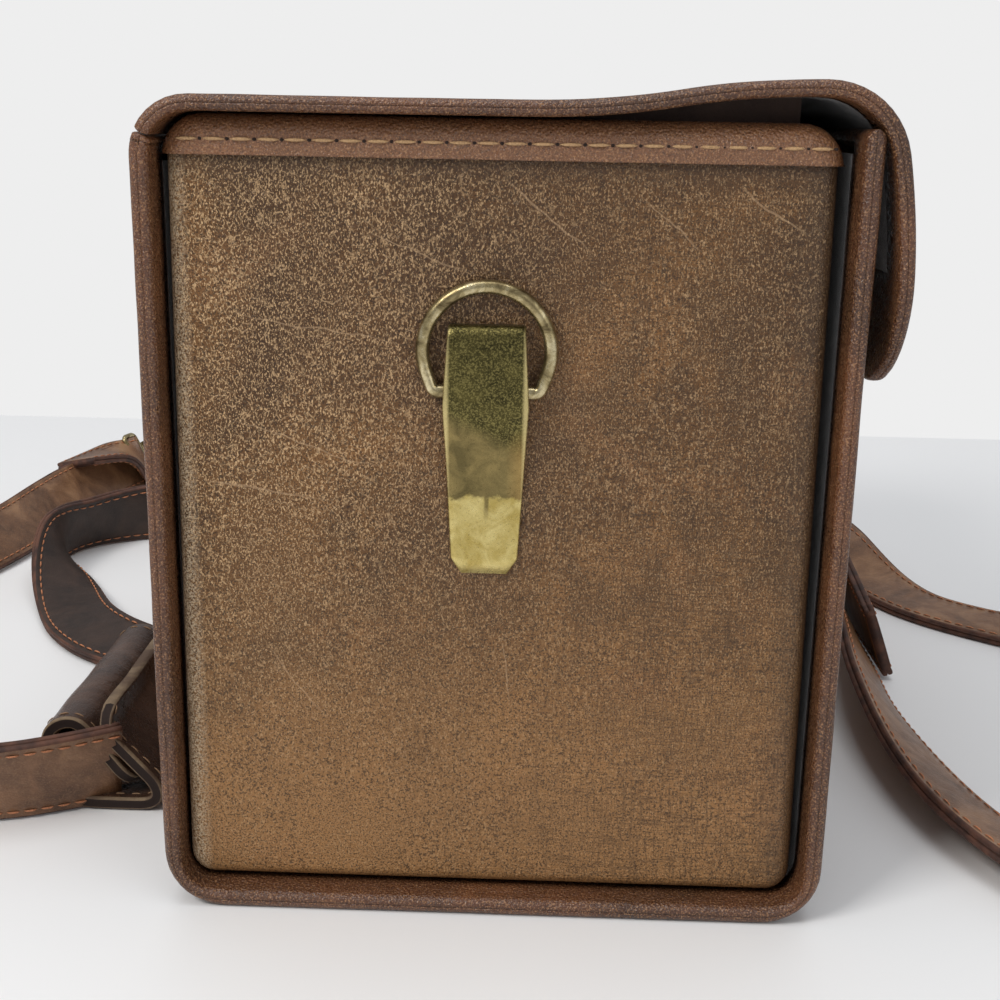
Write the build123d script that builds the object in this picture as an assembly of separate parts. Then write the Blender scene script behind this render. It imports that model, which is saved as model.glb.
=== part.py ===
from build123d import *
import math
import os

# Leather camera case. Millimetres. X runs from the back wall to the front flap,
# Y along the case, Z up. The origin is the middle of the flat underside.

# Case body
case_length = 250.0
case_width = 157.0
wall = 4.2
skin = 1.4
board = 1.9
lining = 1.0
layer_gap = 0.05
corner_radius = 14.0
inner_corner_radius = 7.5
rim_depth = 11.8
rim_round = 1.5

# Lid, measured on its outer face
lid_top = 189.0
lid_skin = 1.3
lid_board = 1.1
lid_thickness = 3.4
rear_top_radius = 13.0
seam_angle = 154.0
seam_gap = 0.15
rise_start = 6.0
rise_height = 5.0
front_top_radius = 18.0
lid_pad_depth = 4.8
lid_pad_gap = 3.0
front_overhang = 5.5
lid_front_gap = 0.34
front_turn_end = 12.0
flap_radius = 165.0
flap_end_angle = -6.0
flap_corner_radius = 26.0
lid_end_round = 1.5

# Recessed end panels
rim_recess = 6.0
panel_shift = -0.8
panel_bottom_side_gap = 1.3
panel_top_side_gap = 2.9
panel_bottom_gap = 0.9
panel_top_radius = 8.0
panel_bottom_radius = 6.0
panel_edge_round = 3.5
panel_depth = 5.8
foam = 1.3
binding_thickness = 1.2
binding_drop = 8.6
lid_clearance = 0.3

# Ring lug on each end panel
lug_x = -2.9
ring_wire = 3.1
ring_inner_width = 25.0
ring_arc_rise = 8.95
ring_corner_radius = 1.8
ring_tuck_angle = 20.0
ring_bar_z = 127.3
ring_gap = 0.4
lug_thickness = 1.2
lug_rise = 15.3
lug_length = 57.3
lug_slope = 4.0
lug_corner_radius = 2.1
lug_top_width = 17.0
lug_wide_width = 19.0
lug_bottom_width = 14.8
lug_rivet_radius = 1.5
lug_tail = 8.0
lug_bends = (0.7, 2.2, 12.0, 12.0)
burr_margin = 1.3

# Lock on the front wall and hasp on the flap
lock_width = 34.0
lock_height = 28.0
lock_depth = 8.0
lock_wall = 1.2
lock_gap = 2.2
lock_flange = 6.0
tongue_width = 12.0
tongue_thickness = 1.2
tongue_reach = 10.5
tongue_angle_top = -0.5
notch_depth = 2.7
bolt_height = 3.4
bolt_travel = 3.0
bolt_clearance = 0.3
button_width = 11.0
button_height = 9.0
button_depth = 2.6
rivet_radius = 1.2
rivet_head_radius = 2.2
rivet_head_height = 0.9
rivet_tail_height = 0.7
hasp_rivet_gap = 2.0
hasp_rivet_rise = 10.0
hasp_margin = 4.0
neck_gap = 2.4
neck_width = 3.6
bolt_tip_gap = 0.6
groove_pitch = 2.0
groove_width = 0.9
groove_depth = 0.7
groove_margin = 1.2
hasp_head_gap = 0.1
hasp_tail_gap = 0.3
hasp_tail_height = 0.6
hasp_tail_radius = 1.8

# Inside fittings
base_pad = 4.0
divider_thickness = 6.0
divider_y = 30.0
divider_height = 150.0
fit_gap = 0.3

# Shoulder strap
strap_width = 25.0
strap_thickness = 3.6
strap_end_lead = 4.0
fold_gap = 0.3
pad_thickness = 3.4
pad_near_y = -79.0
pad_far_y = -6.5
pad_x = -105.0

# Snap hooks on the strap ends
eye_wire = 2.4
eye_length = 9.2
swivel_radius = 1.6
swivel_clearance = 0.05
swivel_gap = 0.2
swivel_head = 1.4
boss_radius = 3.2
boss_length = 4.4
hook_wire = 3.8
hook_reach = 22.0
hook_bend = 6.2
hook_base = 6.0
hook_half = 3.0
hook_lip = 1.4
gate_wire = 3.0
gate_pin_radius = 0.8
gate_pin_offset = 1.2
gate_slot = 1.3
gate_clearance = 0.4
gate_side_gap = 0.2
gate_disc_radius = 2.1
gate_neck_length = 3.4
gate_neck_half = 1.4
gate_bar_start = 2.8
hook_overlap = 1.0
ear_reach = 2.2
ear_drop = 2.3
ear_round = 1.2
slot_back = 2.7
slot_reach = 6.0
slot_drop = 3.0
head_inset = 0.6
# Each hook's bar: x, y, heading right of +Y, lean to the left, side and length of the tab
hook_a = (-194.5, 256.5, 15.0, 30.0, 1, 46.0)
hook_b = (124.5, 120.0, 0.0, 0.0, 1, 90.0)

half_length = case_length / 2
half_width = case_width / 2
rear_top_x = -half_width + rear_top_radius
rear_top_z = lid_top - rear_top_radius
rim_inner_y = -half_length + rim_depth
panel_face_y = -half_length + rim_recess
panel_back_y = panel_face_y + panel_depth
panel_z = wall + panel_bottom_gap
binding_top = lid_top - lid_thickness - lid_clearance
panel_top = binding_top - binding_thickness
panel_bottom_half = half_width - wall - panel_bottom_side_gap
panel_top_half = half_width - wall - panel_top_side_gap
lug_top_z = ring_bar_z + lug_rise
lug_bottom_z = lug_top_z - lug_length

# The front wall's rounded top edge fits inside the lid's front corner
front_top_x = half_width + front_overhang - front_top_radius
front_top_z = lid_top + rise_height - front_top_radius
cap_reach = front_top_radius - lid_thickness - lid_front_gap - wall / 2
cap_run = half_width - wall / 2 - front_top_x
front_wall_top = front_top_z + math.sqrt(cap_reach ** 2 - cap_run ** 2) + wall / 2


def emit(name, shape):
    """Write one named piece."""
    shape.label = name
    export_step(shape, f"parts/{name}.step")


def block(x0, x1, y0, y1, z0, z1):
    """A box between two corners."""
    size = Box(x1 - x0, y1 - y0, z1 - z0)
    return Pos((x0 + x1) / 2, (y0 + y1) / 2, (z0 + z1) / 2) * size


def rod_x(radius, x0, x1, y, z):
    """A round bar along X."""
    return Pos((x0 + x1) / 2, y, z) * Rot(0, 90, 0) * Cylinder(radius, abs(x1 - x0))


def rod_y(radius, y0, y1, x, z):
    """A round bar along Y."""
    return Pos(x, (y0 + y1) / 2, z) * Rot(90, 0, 0) * Cylinder(radius, abs(y1 - y0))


def along_case(face, y0, y1):
    """Carry a face drawn as (x, z) along the case from y0 to y1."""
    upright = Plane.XZ.offset(-y0) * face
    return extrude(upright, amount=y1 - y0, dir=(0, 1, 0))


def clock_arc(centre, radius, start, end):
    """An arc about a centre, from one angle to another, in degrees."""
    return CenterArc(centre, radius, start, end - start)


def body_path(inset):
    """The wall's section at a depth below its outer face, front top to rear seam."""
    shrink = (corner_radius - inner_corner_radius) / wall
    radius = max(corner_radius - shrink * inset, 1.0)
    side = half_width - inset
    corner = side - radius
    low = inset + radius
    seam_end = seam_angle + math.degrees(seam_gap / rear_top_radius)
    return [
        Line((side, front_wall_top - wall / 2), (side, low)),
        clock_arc((corner, low), radius, 0, -90),
        Line((corner, inset), (-corner, inset)),
        clock_arc((-corner, low), radius, -90, -180),
        Line((-side, low), (-side, rear_top_z)),
        clock_arc((rear_top_x, rear_top_z), rear_top_radius - inset, 180, seam_end),
    ]


def rise_arcs(inset):
    """The two gentle arcs that lift the lid towards its front edge."""
    run = (front_top_x - rise_start) / 2
    turn = 2 * math.atan(rise_height / 2 / run)
    radius = run / math.sin(turn)
    degrees = math.degrees(turn)
    low_centre = (rise_start, lid_top + radius)
    high_centre = (front_top_x, lid_top + rise_height - radius)
    return [
        clock_arc(low_centre, radius + inset, 270, 270 + degrees),
        clock_arc(high_centre, radius - inset, 90 + degrees, 90),
    ]


def flap_centre():
    """Centre of the flap's long bulging arc, tangent to the front corner."""
    turn = math.radians(front_turn_end)
    reach = flap_radius - front_top_radius
    return (front_top_x - reach * math.cos(turn), front_top_z - reach * math.sin(turn))


def lid_path(inset):
    """The lid's section at a depth below its outer face, rear seam to flap edge."""
    seam_end = seam_angle - math.degrees(seam_gap / rear_top_radius)
    top = lid_top - inset
    rear = clock_arc((rear_top_x, rear_top_z), rear_top_radius - inset, seam_end, 90)
    flat = Line((rear_top_x, top), (rise_start, top))
    front_centre = (front_top_x, front_top_z)
    front = clock_arc(front_centre, front_top_radius - inset, 90, front_turn_end)
    flap = clock_arc(flap_centre(), flap_radius - inset, front_turn_end, flap_end_angle)
    return [rear, flat] + rise_arcs(inset) + [front, flap]


def band(path, outer, inner):
    """The face between two depths of a section path."""
    first = path(outer)
    second = path(inner)
    start = Line(first[0] @ 0, second[0] @ 0)
    end = Line(first[-1] @ 1, second[-1] @ 1)
    return make_face(first + second + [start, end])


def flap_point(inset, angle):
    """A point on the flap at a depth and an angle, as (x, z)."""
    centre = flap_centre()
    turn = math.radians(angle)
    radius = flap_radius - inset
    return (centre[0] + radius * math.cos(turn), centre[1] + radius * math.sin(turn))


# Lock layout, shared by the lock, its bolt, the tongue and their holes
flap_edge_z = flap_point(0, flap_end_angle)[1]
lock_top = flap_edge_z - lock_gap
lock_bottom = lock_top - lock_height
lock_face_x = half_width + lock_depth
tongue_tip_z = flap_edge_z - tongue_reach
bolt_z = tongue_tip_z + bolt_height
rivet_y = lock_width / 2 + lock_flange / 2
rivet_low_z = lock_bottom + rivet_head_radius
rivet_high_z = lock_top - rivet_head_radius
lock_rivets_at = [
    (y, z) for y in (-rivet_y, rivet_y) for z in (rivet_low_z, rivet_high_z)
]
hasp_rivet_y = tongue_width / 2 + hasp_rivet_gap
hasp_rivet_z = flap_edge_z + hasp_rivet_rise
hasp_rivets_at = [(-hasp_rivet_y, hasp_rivet_z), (hasp_rivet_y, hasp_rivet_z)]


def front_holes(radius):
    """Round holes for the lock's rivets through the front wall."""
    x0 = half_width - wall - lining
    return [rod_x(radius, x0, half_width + 1, y, z) for y, z in lock_rivets_at]


def flap_holes(radius):
    """Round holes for the hasp's rivets through the flap."""
    x0 = half_width
    x1 = lock_face_x + 4
    return [rod_x(radius, x0, x1, y, z) for y, z in hasp_rivets_at]


def wrap_leather():
    """Outer leather of the back, bottom and front, with rolled rims at both ends."""
    cap = Pos(half_width - wall / 2, front_wall_top - wall / 2) * Circle(wall / 2)
    shell = along_case(band(body_path, 0, wall) + cap, -half_length, half_length)
    for end in (shell.faces().sort_by(Axis.Y)[0], shell.faces().sort_by(Axis.Y)[-1]):
        shell = fillet(end.outer_wire().edges(), rim_round)
    pocket = along_case(band(body_path, skin, wall + 1), rim_inner_y, -rim_inner_y)
    low_front = block(0, half_width, -half_length, half_length, 0, front_wall_top - wall)
    low_back = block(-half_width, 0, -half_length, half_length, 0, rear_top_z)
    pocket = pocket & (low_front + low_back)
    return shell - pocket - front_holes(rivet_radius)


def flat_board(x0, x1, z0, z1):
    """A stiff board that lies between the leather and the lining."""
    end = -rim_inner_y - fit_gap
    return block(x0, x1, -end, end, z0, z1)


def board_depths():
    """Depth of the boards' outer and inner faces below the leather's outer face."""
    outer = skin + layer_gap
    return outer, outer + board


def back_board():
    outer, inner = board_depths()
    z0 = corner_radius + 1
    return flat_board(-half_width + outer, -half_width + inner, z0, rear_top_z - 1)


def bottom_board():
    outer, inner = board_depths()
    x1 = half_width - corner_radius - 1
    return flat_board(-x1, x1, outer, inner)


def front_board():
    outer, inner = board_depths()
    z0 = corner_radius + 1
    z1 = front_wall_top - wall - 1
    plate = flat_board(half_width - inner, half_width - outer, z0, z1)
    return plate - front_holes(rivet_radius)


def lining_depths():
    """Depth of the body lining's outer and inner faces."""
    outer = skin + board + 2 * layer_gap
    return outer, outer + lining


def body_lining():
    """Soft lining of the back, bottom and front walls."""
    outer, inner = lining_depths()
    end = -rim_inner_y - layer_gap
    sheet = along_case(band(body_path, outer, inner), -end, end)
    top_cut = block(0, half_width, -end, end, front_wall_top - wall - 1, lid_top)
    rear_cut = block(-half_width, 0, -end, end, rear_top_z - 1, lid_top)
    return sheet - top_cut - rear_cut - front_holes(rivet_head_radius + layer_gap)


def end_outline(inset):
    """The end panel's outline as (x, z), drawn in by an inset."""
    bottom = panel_bottom_half - inset
    top = panel_top_half - inset
    low = panel_z + inset
    high = panel_top - inset
    corners = [(-bottom, low), (bottom, low), (top, high), (-top, high)]
    points = [(x + panel_shift, z) for x, z in corners]
    face = make_face(Polyline(*points, close=True))
    low_corners = face.vertices().group_by(Axis.Y)[0]
    face = fillet(low_corners, max(panel_bottom_radius - inset, 0.5))
    high_corners = face.vertices().group_by(Axis.Y)[-1]
    face = fillet(high_corners, max(panel_top_radius - inset, 0.5))
    return face


def end_block(inset, y0, y1, edge_round):
    """A slab of the end panel's outline with its outward edge rounded over."""
    slab = along_case(end_outline(inset), y0, y1)
    if edge_round > 0:
        face = slab.faces().sort_by(Axis.Y)[0]
        slab = fillet(face.outer_wire().edges(), edge_round)
    return slab


def lug_slot():
    """The slot that the lug's tail goes through, and its rivet's hole."""
    half = lug_top_width / 2 + fit_gap
    z1 = lug_top_z - lug_thickness / 2
    z0 = z1 - lug_thickness - 2 * layer_gap
    slot = block(lug_x - half, lug_x + half, panel_face_y - 1, panel_back_y - lining, z0, z1)
    rivet_z = lug_bottom_z + lug_bottom_width / 2
    reach = panel_back_y - lining
    hole = rod_y(lug_rivet_radius, panel_face_y - 1, reach, lug_x, rivet_z)
    return slot + hole


def end_panel():
    """Leather of one end: a shallow tray with a sewing lip at its back."""
    tray = end_block(0, panel_face_y, panel_back_y, panel_edge_round)
    inner_face = panel_face_y + skin
    hollow = end_block(skin, inner_face, panel_back_y + 1, panel_edge_round - skin)
    seat = wall + layer_gap
    section = make_face(
        body_path(seat) + [Line(body_path(seat)[-1] @ 1, body_path(seat)[0] @ 0)]
    )
    lip = along_case(section, panel_back_y - skin, panel_back_y)
    below = block(-half_width, half_width, -half_length, 0, 0, rear_top_z - panel_top_radius)
    return tray + (lip & below) - hollow - lug_slot()


def end_board():
    """Stiff board behind the end panel's leather."""
    y0 = panel_face_y + skin + layer_gap
    return end_block(panel_edge_round, y0, y0 + board, 0) - lug_slot()


def end_foam():
    """Thin padding over the lug's tail and rivet, behind the board."""
    y0 = panel_face_y + skin + board + 2 * layer_gap
    sheet = end_block(skin + fit_gap, y0, y0 + foam, 0)
    half = lug_top_width / 2 + 1
    z0 = lug_top_z - lug_tail - 4
    tail_room = block(lug_x - half, lug_x + half, y0 - 1, y0 + foam + 1, z0, lug_top_z + 1)
    rivet_z = lug_bottom_z + lug_bottom_width / 2
    burr_radius = lug_rivet_radius + burr_margin + fit_gap
    burr_room = rod_y(burr_radius, y0 - 1, y0 + foam + 1, lug_x, rivet_z)
    return sheet - tail_room - burr_room


def end_lining():
    """Soft lining that covers the inside of the end."""
    y0 = panel_face_y + skin + board + foam + 3 * layer_gap
    return end_block(skin + layer_gap, y0, y0 + lining, 0)


def end_binding():
    """Stitched strip folded over the end panel's top edge."""
    y0 = panel_face_y - binding_thickness
    edge_round = panel_edge_round + binding_thickness
    outer = end_block(-binding_thickness, y0, panel_back_y, edge_round)
    core = end_block(-layer_gap, panel_face_y - layer_gap, panel_back_y, panel_edge_round)
    low = binding_top - binding_drop
    keep = block(-half_width, half_width, y0 - 1, panel_back_y + 1, low, lid_top)
    return (outer & keep) - core


def ring_depth():
    """How far the ring's bar stands out from the end panel."""
    return ring_gap + ring_wire / 2


def end_ring():
    """Brass ring, nearly round, with a straight bar, standing up against the end panel."""
    radius = (ring_inner_width + ring_wire) / 2
    arc_z = ring_bar_z + ring_arc_rise
    tuck = math.radians(ring_tuck_angle)
    run = (ring_arc_rise - radius * math.sin(tuck)) / math.cos(tuck)
    corner = radius * math.cos(tuck) - run * math.sin(tuck)
    bend = ring_corner_radius
    start = (lug_x, ring_bar_z)
    right = (lug_x + corner, ring_bar_z)
    left = (lug_x - corner, ring_bar_z)
    dome = CenterArc((lug_x, arc_z), radius, -ring_tuck_angle, 180 + 2 * ring_tuck_angle)
    first = FilletPolyline(start, right, dome @ 0, radius=bend)
    last = FilletPolyline(dome @ 1, left, start, radius=bend)
    flat = Wire(first.edges() + dome.edges() + last.edges())
    route = Plane.XZ.offset(ring_depth() - panel_face_y) * flat
    section = Plane(route @ 0, z_dir=route % 0) * Circle(ring_wire / 2)
    return sweep(section, path=route)


def lug_profile():
    """The lug's outer line as (depth, z), from the slot over the bar to its foot."""
    bar_front = 2 * ring_depth() - ring_gap
    face = bar_front + ring_gap + lug_thickness
    foot = lug_thickness
    slope_top = ring_bar_z - ring_wire
    slope_foot = slope_top - (face - foot) * lug_slope
    return face, foot, slope_top, slope_foot


def lug_plate():
    """Brass lug: a tail through the slot, a fold over the bar and a tapered tongue."""
    face, foot, slope_top, slope_foot = lug_profile()
    tail = skin + board + 3 * layer_gap + lug_thickness
    half = lug_thickness / 2
    tail_z = lug_top_z - lug_thickness - layer_gap
    centre = [
        (-tail + half, tail_z - lug_tail),
        (-tail + half, tail_z),
        (face - half, tail_z),
        (face - half, slope_top),
        (foot - half, slope_foot),
        (foot - half, lug_bottom_z),
    ]
    flat = FilletPolyline(*centre, radius=list(lug_bends))
    route = Plane((lug_x, panel_face_y, 0), x_dir=(0, -1, 0), z_dir=(-1, 0, 0)) * flat
    start = Plane(route @ 0, x_dir=(1, 0, 0), z_dir=route % 0)
    solid = sweep(start * Rectangle(lug_wide_width, lug_thickness), path=route)
    return solid & lug_front_view()


def lug_front_view():
    """The lug's tapered outline seen from in front, as a cutter."""
    top = lug_top_width / 2
    wide = lug_wide_width / 2
    foot = lug_bottom_width / 2
    wide_z = ring_bar_z - ring_wire
    right = [(top, lug_top_z + 1), (wide, wide_z), (foot, lug_bottom_z)]
    left = [(-x, z) for x, z in reversed(right)]
    points = [(lug_x + x, z) for x, z in right + left]
    face = make_face(Polyline(*points, close=True))
    low = face.vertices().group_by(Axis.Y)[0]
    face = fillet(low, lug_corner_radius)
    return along_case(face, -half_length - 5, panel_back_y)


def lug_rivet():
    """Rivet behind the lug's foot, closed on a burr behind the board."""
    z = lug_bottom_z + lug_bottom_width / 2
    back = panel_face_y + skin + board + 2 * layer_gap
    shank = rod_y(lug_rivet_radius - layer_gap, panel_face_y, back, lug_x, z)
    burr = rod_y(lug_rivet_radius + burr_margin, back, back + foam - fit_gap, lug_x, z)
    return shank + burr


def flap_trim():
    """Cutters that round the flap's two lower corners."""
    radius = flap_corner_radius
    y = half_length - radius
    z = flap_edge_z + radius
    x0 = front_top_x
    x1 = lock_face_x + 10
    corner = block(x0, x1, y, half_length + 1, flap_edge_z - 2, z)
    corner = corner - rod_x(radius, x0 - 1, x1 + 1, y, z)
    return [corner, mirror(corner, about=Plane.XZ)]


def lid_leather():
    """Outer leather of the lid and flap, rolled over at its edges."""
    shell = along_case(band(lid_path, 0, lid_thickness), -half_length, half_length)
    ends = [shell.faces().sort_by(Axis.Y)[0], shell.faces().sort_by(Axis.Y)[-1]]
    edges = [e for face in ends for e in face.outer_wire().edges()]
    long_edges = [e for e in edges if e.length > 2 * lid_thickness]
    shell = fillet(long_edges, lid_end_round)
    pocket = along_case(pocket_face(), rim_inner_y, -rim_inner_y)
    return shell - flap_trim() - pocket - flap_holes(rivet_radius)


def pocket_face():
    """The room for the lid's board and lining, short of the seam and flap edge."""
    face = band(lid_path, lid_skin, lid_thickness + 1)
    edge_x = flap_point(0, flap_end_angle)[0]
    low = flap_edge_z + flap_corner_radius
    flap_cut = Rectangle(2 * edge_x, low, align=(Align.MIN, Align.MIN))
    rear_cut = Pos(-half_width, 0) * Rectangle(
        rear_top_radius, lid_top * 2, align=(Align.MIN, Align.MIN)
    )
    return face - flap_cut - rear_cut


def lid_inner_layer(outer, inner):
    """A layer that lies in the lid's pocket with a small gap all round."""
    layer = along_case(band(lid_path, outer, inner), rim_inner_y, -rim_inner_y)
    end = -rim_inner_y - layer_gap
    low = flap_edge_z + flap_corner_radius + layer_gap
    keep = block(rear_top_x + layer_gap, lock_face_x + 4, -end, end, low, lid_top * 2)
    return layer & keep


def lid_stiffener():
    """Thin board that shapes the lid."""
    outer = lid_skin + layer_gap
    return lid_inner_layer(outer, outer + lid_board)


def lid_lining():
    """Soft lining on the lid's inside, padded over the case's mouth."""
    outer = lid_skin + lid_board + 2 * layer_gap
    deepest = rise_height + lid_pad_depth + fit_gap
    end = -panel_back_y - lid_pad_gap
    x0 = rear_top_x + lid_pad_gap
    x1 = front_top_x - lid_pad_gap
    room = block(x0, x1, -end, end, lid_top - lid_pad_depth, lid_top * 2)
    padding = along_case(band(lid_path, outer, deepest), -end, end) & room
    return lid_inner_layer(outer, lid_thickness) + padding


def hasp():
    """Brass hasp riveted inside the flap, with a notched tongue below its edge."""
    outer = lid_thickness
    inner = lid_thickness + tongue_thickness
    centre = flap_centre()
    wide = hasp_rivet_y + hasp_margin
    span = flap_end_angle - tongue_angle_top
    plate_arcs = [
        CenterArc(centre, flap_radius - outer, tongue_angle_top, span),
        CenterArc(centre, flap_radius - inner, tongue_angle_top, span),
    ]
    ends = [
        Line(plate_arcs[0] @ 0, plate_arcs[1] @ 0),
        Line(plate_arcs[0] @ 1, plate_arcs[1] @ 1),
    ]
    plate = along_case(make_face(plate_arcs + ends), -wide, wide)
    drop = Vector(*tongue_drop())
    foot = [Vector(*flap_point(depth, flap_end_angle)) for depth in (outer, inner)]
    tip = [foot[0] + drop, foot[1] + drop]
    blade = make_face(Polyline(foot[0], foot[1], tip[1], tip[0], close=True))
    half = tongue_width / 2
    tongue = along_case(blade, -half, half)
    low = bolt_z - bolt_height / 2 - bolt_clearance
    high = bolt_z + bolt_height / 2 + bolt_clearance
    notch = block(half_width, lock_face_x, half - notch_depth, half + 1, low, high)
    return (plate + tongue) - notch - flap_holes(rivet_radius)


def tongue_drop():
    """The tongue's run below the flap's edge, in line with the flap."""
    turn = math.radians(flap_end_angle)
    return (tongue_reach * math.sin(turn), -tongue_reach * math.cos(turn))


def hasp_rivets():
    """Two rivets with low domed heads through the flap and the hasp."""
    rivets = []
    for y, z in hasp_rivets_at:
        centre = flap_centre()
        angle = math.degrees(math.asin((z - centre[1]) / flap_radius))
        outside = flap_point(0, angle)[0]
        inside = flap_point(lid_thickness + tongue_thickness, angle)[0]
        seat = outside + hasp_head_gap
        tail_top = inside - hasp_tail_gap
        shank = rod_x(rivet_radius - layer_gap, tail_top - layer_gap, seat, y, z)
        head = rod_x(rivet_head_radius, seat, seat + rivet_head_height, y, z)
        head = fillet(head.edges().sort_by(Axis.X)[-1], rivet_head_height * 0.7)
        tail = rod_x(hasp_tail_radius, tail_top - hasp_tail_height, tail_top, y, z)
        rivets.append(shank + head + tail)
    return Compound(children=rivets)


def lock_cavity():
    """The lock's hollow, its mouth and the slot that the bolt's neck runs in."""
    x0 = half_width + lock_wall
    x1 = lock_face_x - lock_wall
    half = lock_width / 2 - lock_wall
    room = block(x0, x1, -half, half, lock_bottom + lock_wall, lock_top - lock_wall)
    mouth_half = tongue_width / 2 + 1
    mouth = block(x0, x1, -mouth_half, mouth_half, bolt_z, lock_top + 1)
    y0, y1 = neck_span()
    low = bolt_z - bolt_height / 2 - layer_gap
    high = bolt_z + bolt_height / 2 + layer_gap
    slot = block(x1 - 1, lock_face_x + 1, y0 - bolt_travel - layer_gap, y1 + layer_gap, low, high)
    return room + mouth + slot


def neck_span():
    """Where the bolt's neck crosses the lock's front wall, along Y, at rest."""
    y0 = tongue_width / 2 + neck_gap
    return y0, y0 + neck_width


def lock_case():
    """Brass lock case: a box with a riveting flange on the front wall."""
    half = lock_width / 2
    box = block(half_width, lock_face_x, -half, half, lock_bottom, lock_top)
    front = box.faces().sort_by(Axis.X)[-1]
    box = fillet(front.outer_wire().edges(), lock_wall * 0.8)
    wide = half + lock_flange
    flange = block(half_width, half_width + lock_wall * 0.7, -wide, wide, lock_bottom, lock_top)
    flange = fillet(flange.edges().filter_by(Axis.X), lock_flange * 0.4)
    holes = [
        rod_x(rivet_radius, half_width - 1, half_width + lock_wall, y, z)
        for y, z in lock_rivets_at
    ]
    return (box + flange) - lock_cavity() - holes


def lock_rivets():
    """Four rivets that hold the lock through the front wall."""
    face = half_width + lock_wall * 0.7
    back = half_width - lining_depths()[0]
    rivets = []
    for y, z in lock_rivets_at:
        shank = rod_x(rivet_radius - layer_gap, back - rivet_tail_height, face, y, z)
        head = rod_x(rivet_head_radius, face, face + rivet_head_height, y, z)
        head = fillet(head.edges().sort_by(Axis.X)[-1], rivet_head_height * 0.7)
        burr = rod_x(rivet_head_radius, back - rivet_tail_height, back, y, z)
        rivets.append(shank + head + burr)
    return Compound(children=rivets)


def lock_bolt():
    """Sliding bolt that enters the tongue's notch."""
    y0 = tongue_width / 2 + bolt_tip_gap
    y1 = neck_span()[1]
    x0 = half_width + lock_wall + bolt_clearance
    x1 = lock_face_x - lock_wall - bolt_clearance
    low = bolt_z - bolt_height / 2
    high = bolt_z + bolt_height / 2
    bolt = block(x0, x1, y0, y1, low, high)
    neck = block(x1, lock_face_x + bolt_clearance, neck_span()[0], y1, low, high)
    return bolt + neck


def lock_button():
    """Ribbed thumb button on the bolt's neck."""
    x0 = lock_face_x + bolt_clearance
    x1 = x0 + button_depth
    middle = sum(neck_span()) / 2
    y0 = middle - button_width / 2
    y1 = middle + button_width / 2
    z0 = bolt_z - button_height / 2
    z1 = bolt_z + button_height / 2
    button = block(x0, x1, y0, y1, z0, z1)
    button = fillet(button.faces().sort_by(Axis.X)[-1].outer_wire().edges(), 0.8)
    half = groove_width / 2
    low = z0 + groove_margin
    high = z1 - groove_margin
    places = [middle + groove_pitch * step for step in (-1.5, -0.5, 0.5, 1.5)]
    grooves = [block(x1 - groove_depth, x1 + 1, y - half, y + half, low, high) for y in places]
    return button - grooves


def inner_floor():
    """Height of the lined floor inside the case."""
    return lining_depths()[1]


def base_pad_solid():
    """Padded insert that lies on the case's floor."""
    x1 = half_width - inner_floor() - inner_corner_radius
    y1 = -panel_back_y - fit_gap
    z0 = inner_floor() + fit_gap / 3
    pad = block(-x1, x1, -y1, y1, z0, z0 + base_pad)
    top = pad.faces().sort_by(Axis.Z)[-1]
    return fillet(top.outer_wire().edges(), base_pad / 3)


def divider():
    """Padded divider that stands on the base pad and parts the inside in two."""
    x1 = half_width - inner_floor() - fit_gap
    z0 = inner_floor() + base_pad + fit_gap
    z1 = z0 + divider_height
    y0 = divider_y - divider_thickness / 2
    y1 = divider_y + divider_thickness / 2
    wall_piece = block(-x1, x1, y0, y1, z0, z1)
    wall_piece = fillet(wall_piece.edges().filter_by(Axis.Y), inner_corner_radius)
    rims = wall_piece.faces().sort_by(Axis.Z)[-1].outer_wire().edges().filter_by(Axis.X)
    return fillet(rims, divider_thickness / 3)


# Strap routes as (x, y) on the table, chosen by hand
route_a = [
    (-112, -81.2), (-133, -90), (-158, -92), (-190, -82), (-216, -55), (-231, -15),
    (-236, 30), (-232, 75), (-222, 114), (-216, 150), (-213.5, 181), (-210.2, 208.4),
]
route_b = [
    (-94, -5.9), (-95, 8), (-104, 21), (-122, 30), (-140, 42), (-156, 58), (-170, 78),
    (-182, 100), (-190, 122), (-192, 142), (-184, 158), (-170, 170), (-150, 180),
    (-122, 190), (-96, 197), (-46, 205), (12, 207), (66, 203), (111, 191), (136, 168),
    (147, 138), (154, 112), (165, 95), (187, 74), (216, 56), (237, 24), (243, -20),
    (236, -64), (218, -101), (191, -122), (163, -127), (145, -110), (131, -85),
    (121, -48), (118.5, -12), (121.2, 25.8),
]


def turn_radii(points):
    """The largest arc at each corner that its two runs leave room for."""
    radii = []
    for before, corner, after in zip(points, points[1:], points[2:]):
        first = Vector(*corner) - Vector(*before)
        second = Vector(*after) - Vector(*corner)
        half_turn = math.radians(first.get_angle(second)) / 2
        shorter = min(first.length, second.length)
        radii.append(0.45 * shorter / math.tan(half_turn))
    return radii


def strap(points, name):
    """A free stretch of strap standing on its edge along a route."""
    radii = turn_radii(points)
    route = FilletPolyline(*points, radius=radii)
    start = Plane(route @ 0, x_dir=(0, 0, 1), z_dir=route % 0)
    section = start * Rectangle(strap_width, strap_thickness)
    solid = sweep(section, path=route)
    solid = Pos(0, 0, strap_width / 2) * solid
    expected = strap_width * strap_thickness * route.length
    print(name, "radii", [round(r) for r in radii])
    print(name, "length", round(route.length), "volume share", round(solid.volume / expected, 4))
    return solid


def fold_half():
    """Half the distance between the two legs of a strap end folded on its bar."""
    return eye_wire / 2 + fold_gap + strap_thickness / 2


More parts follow.
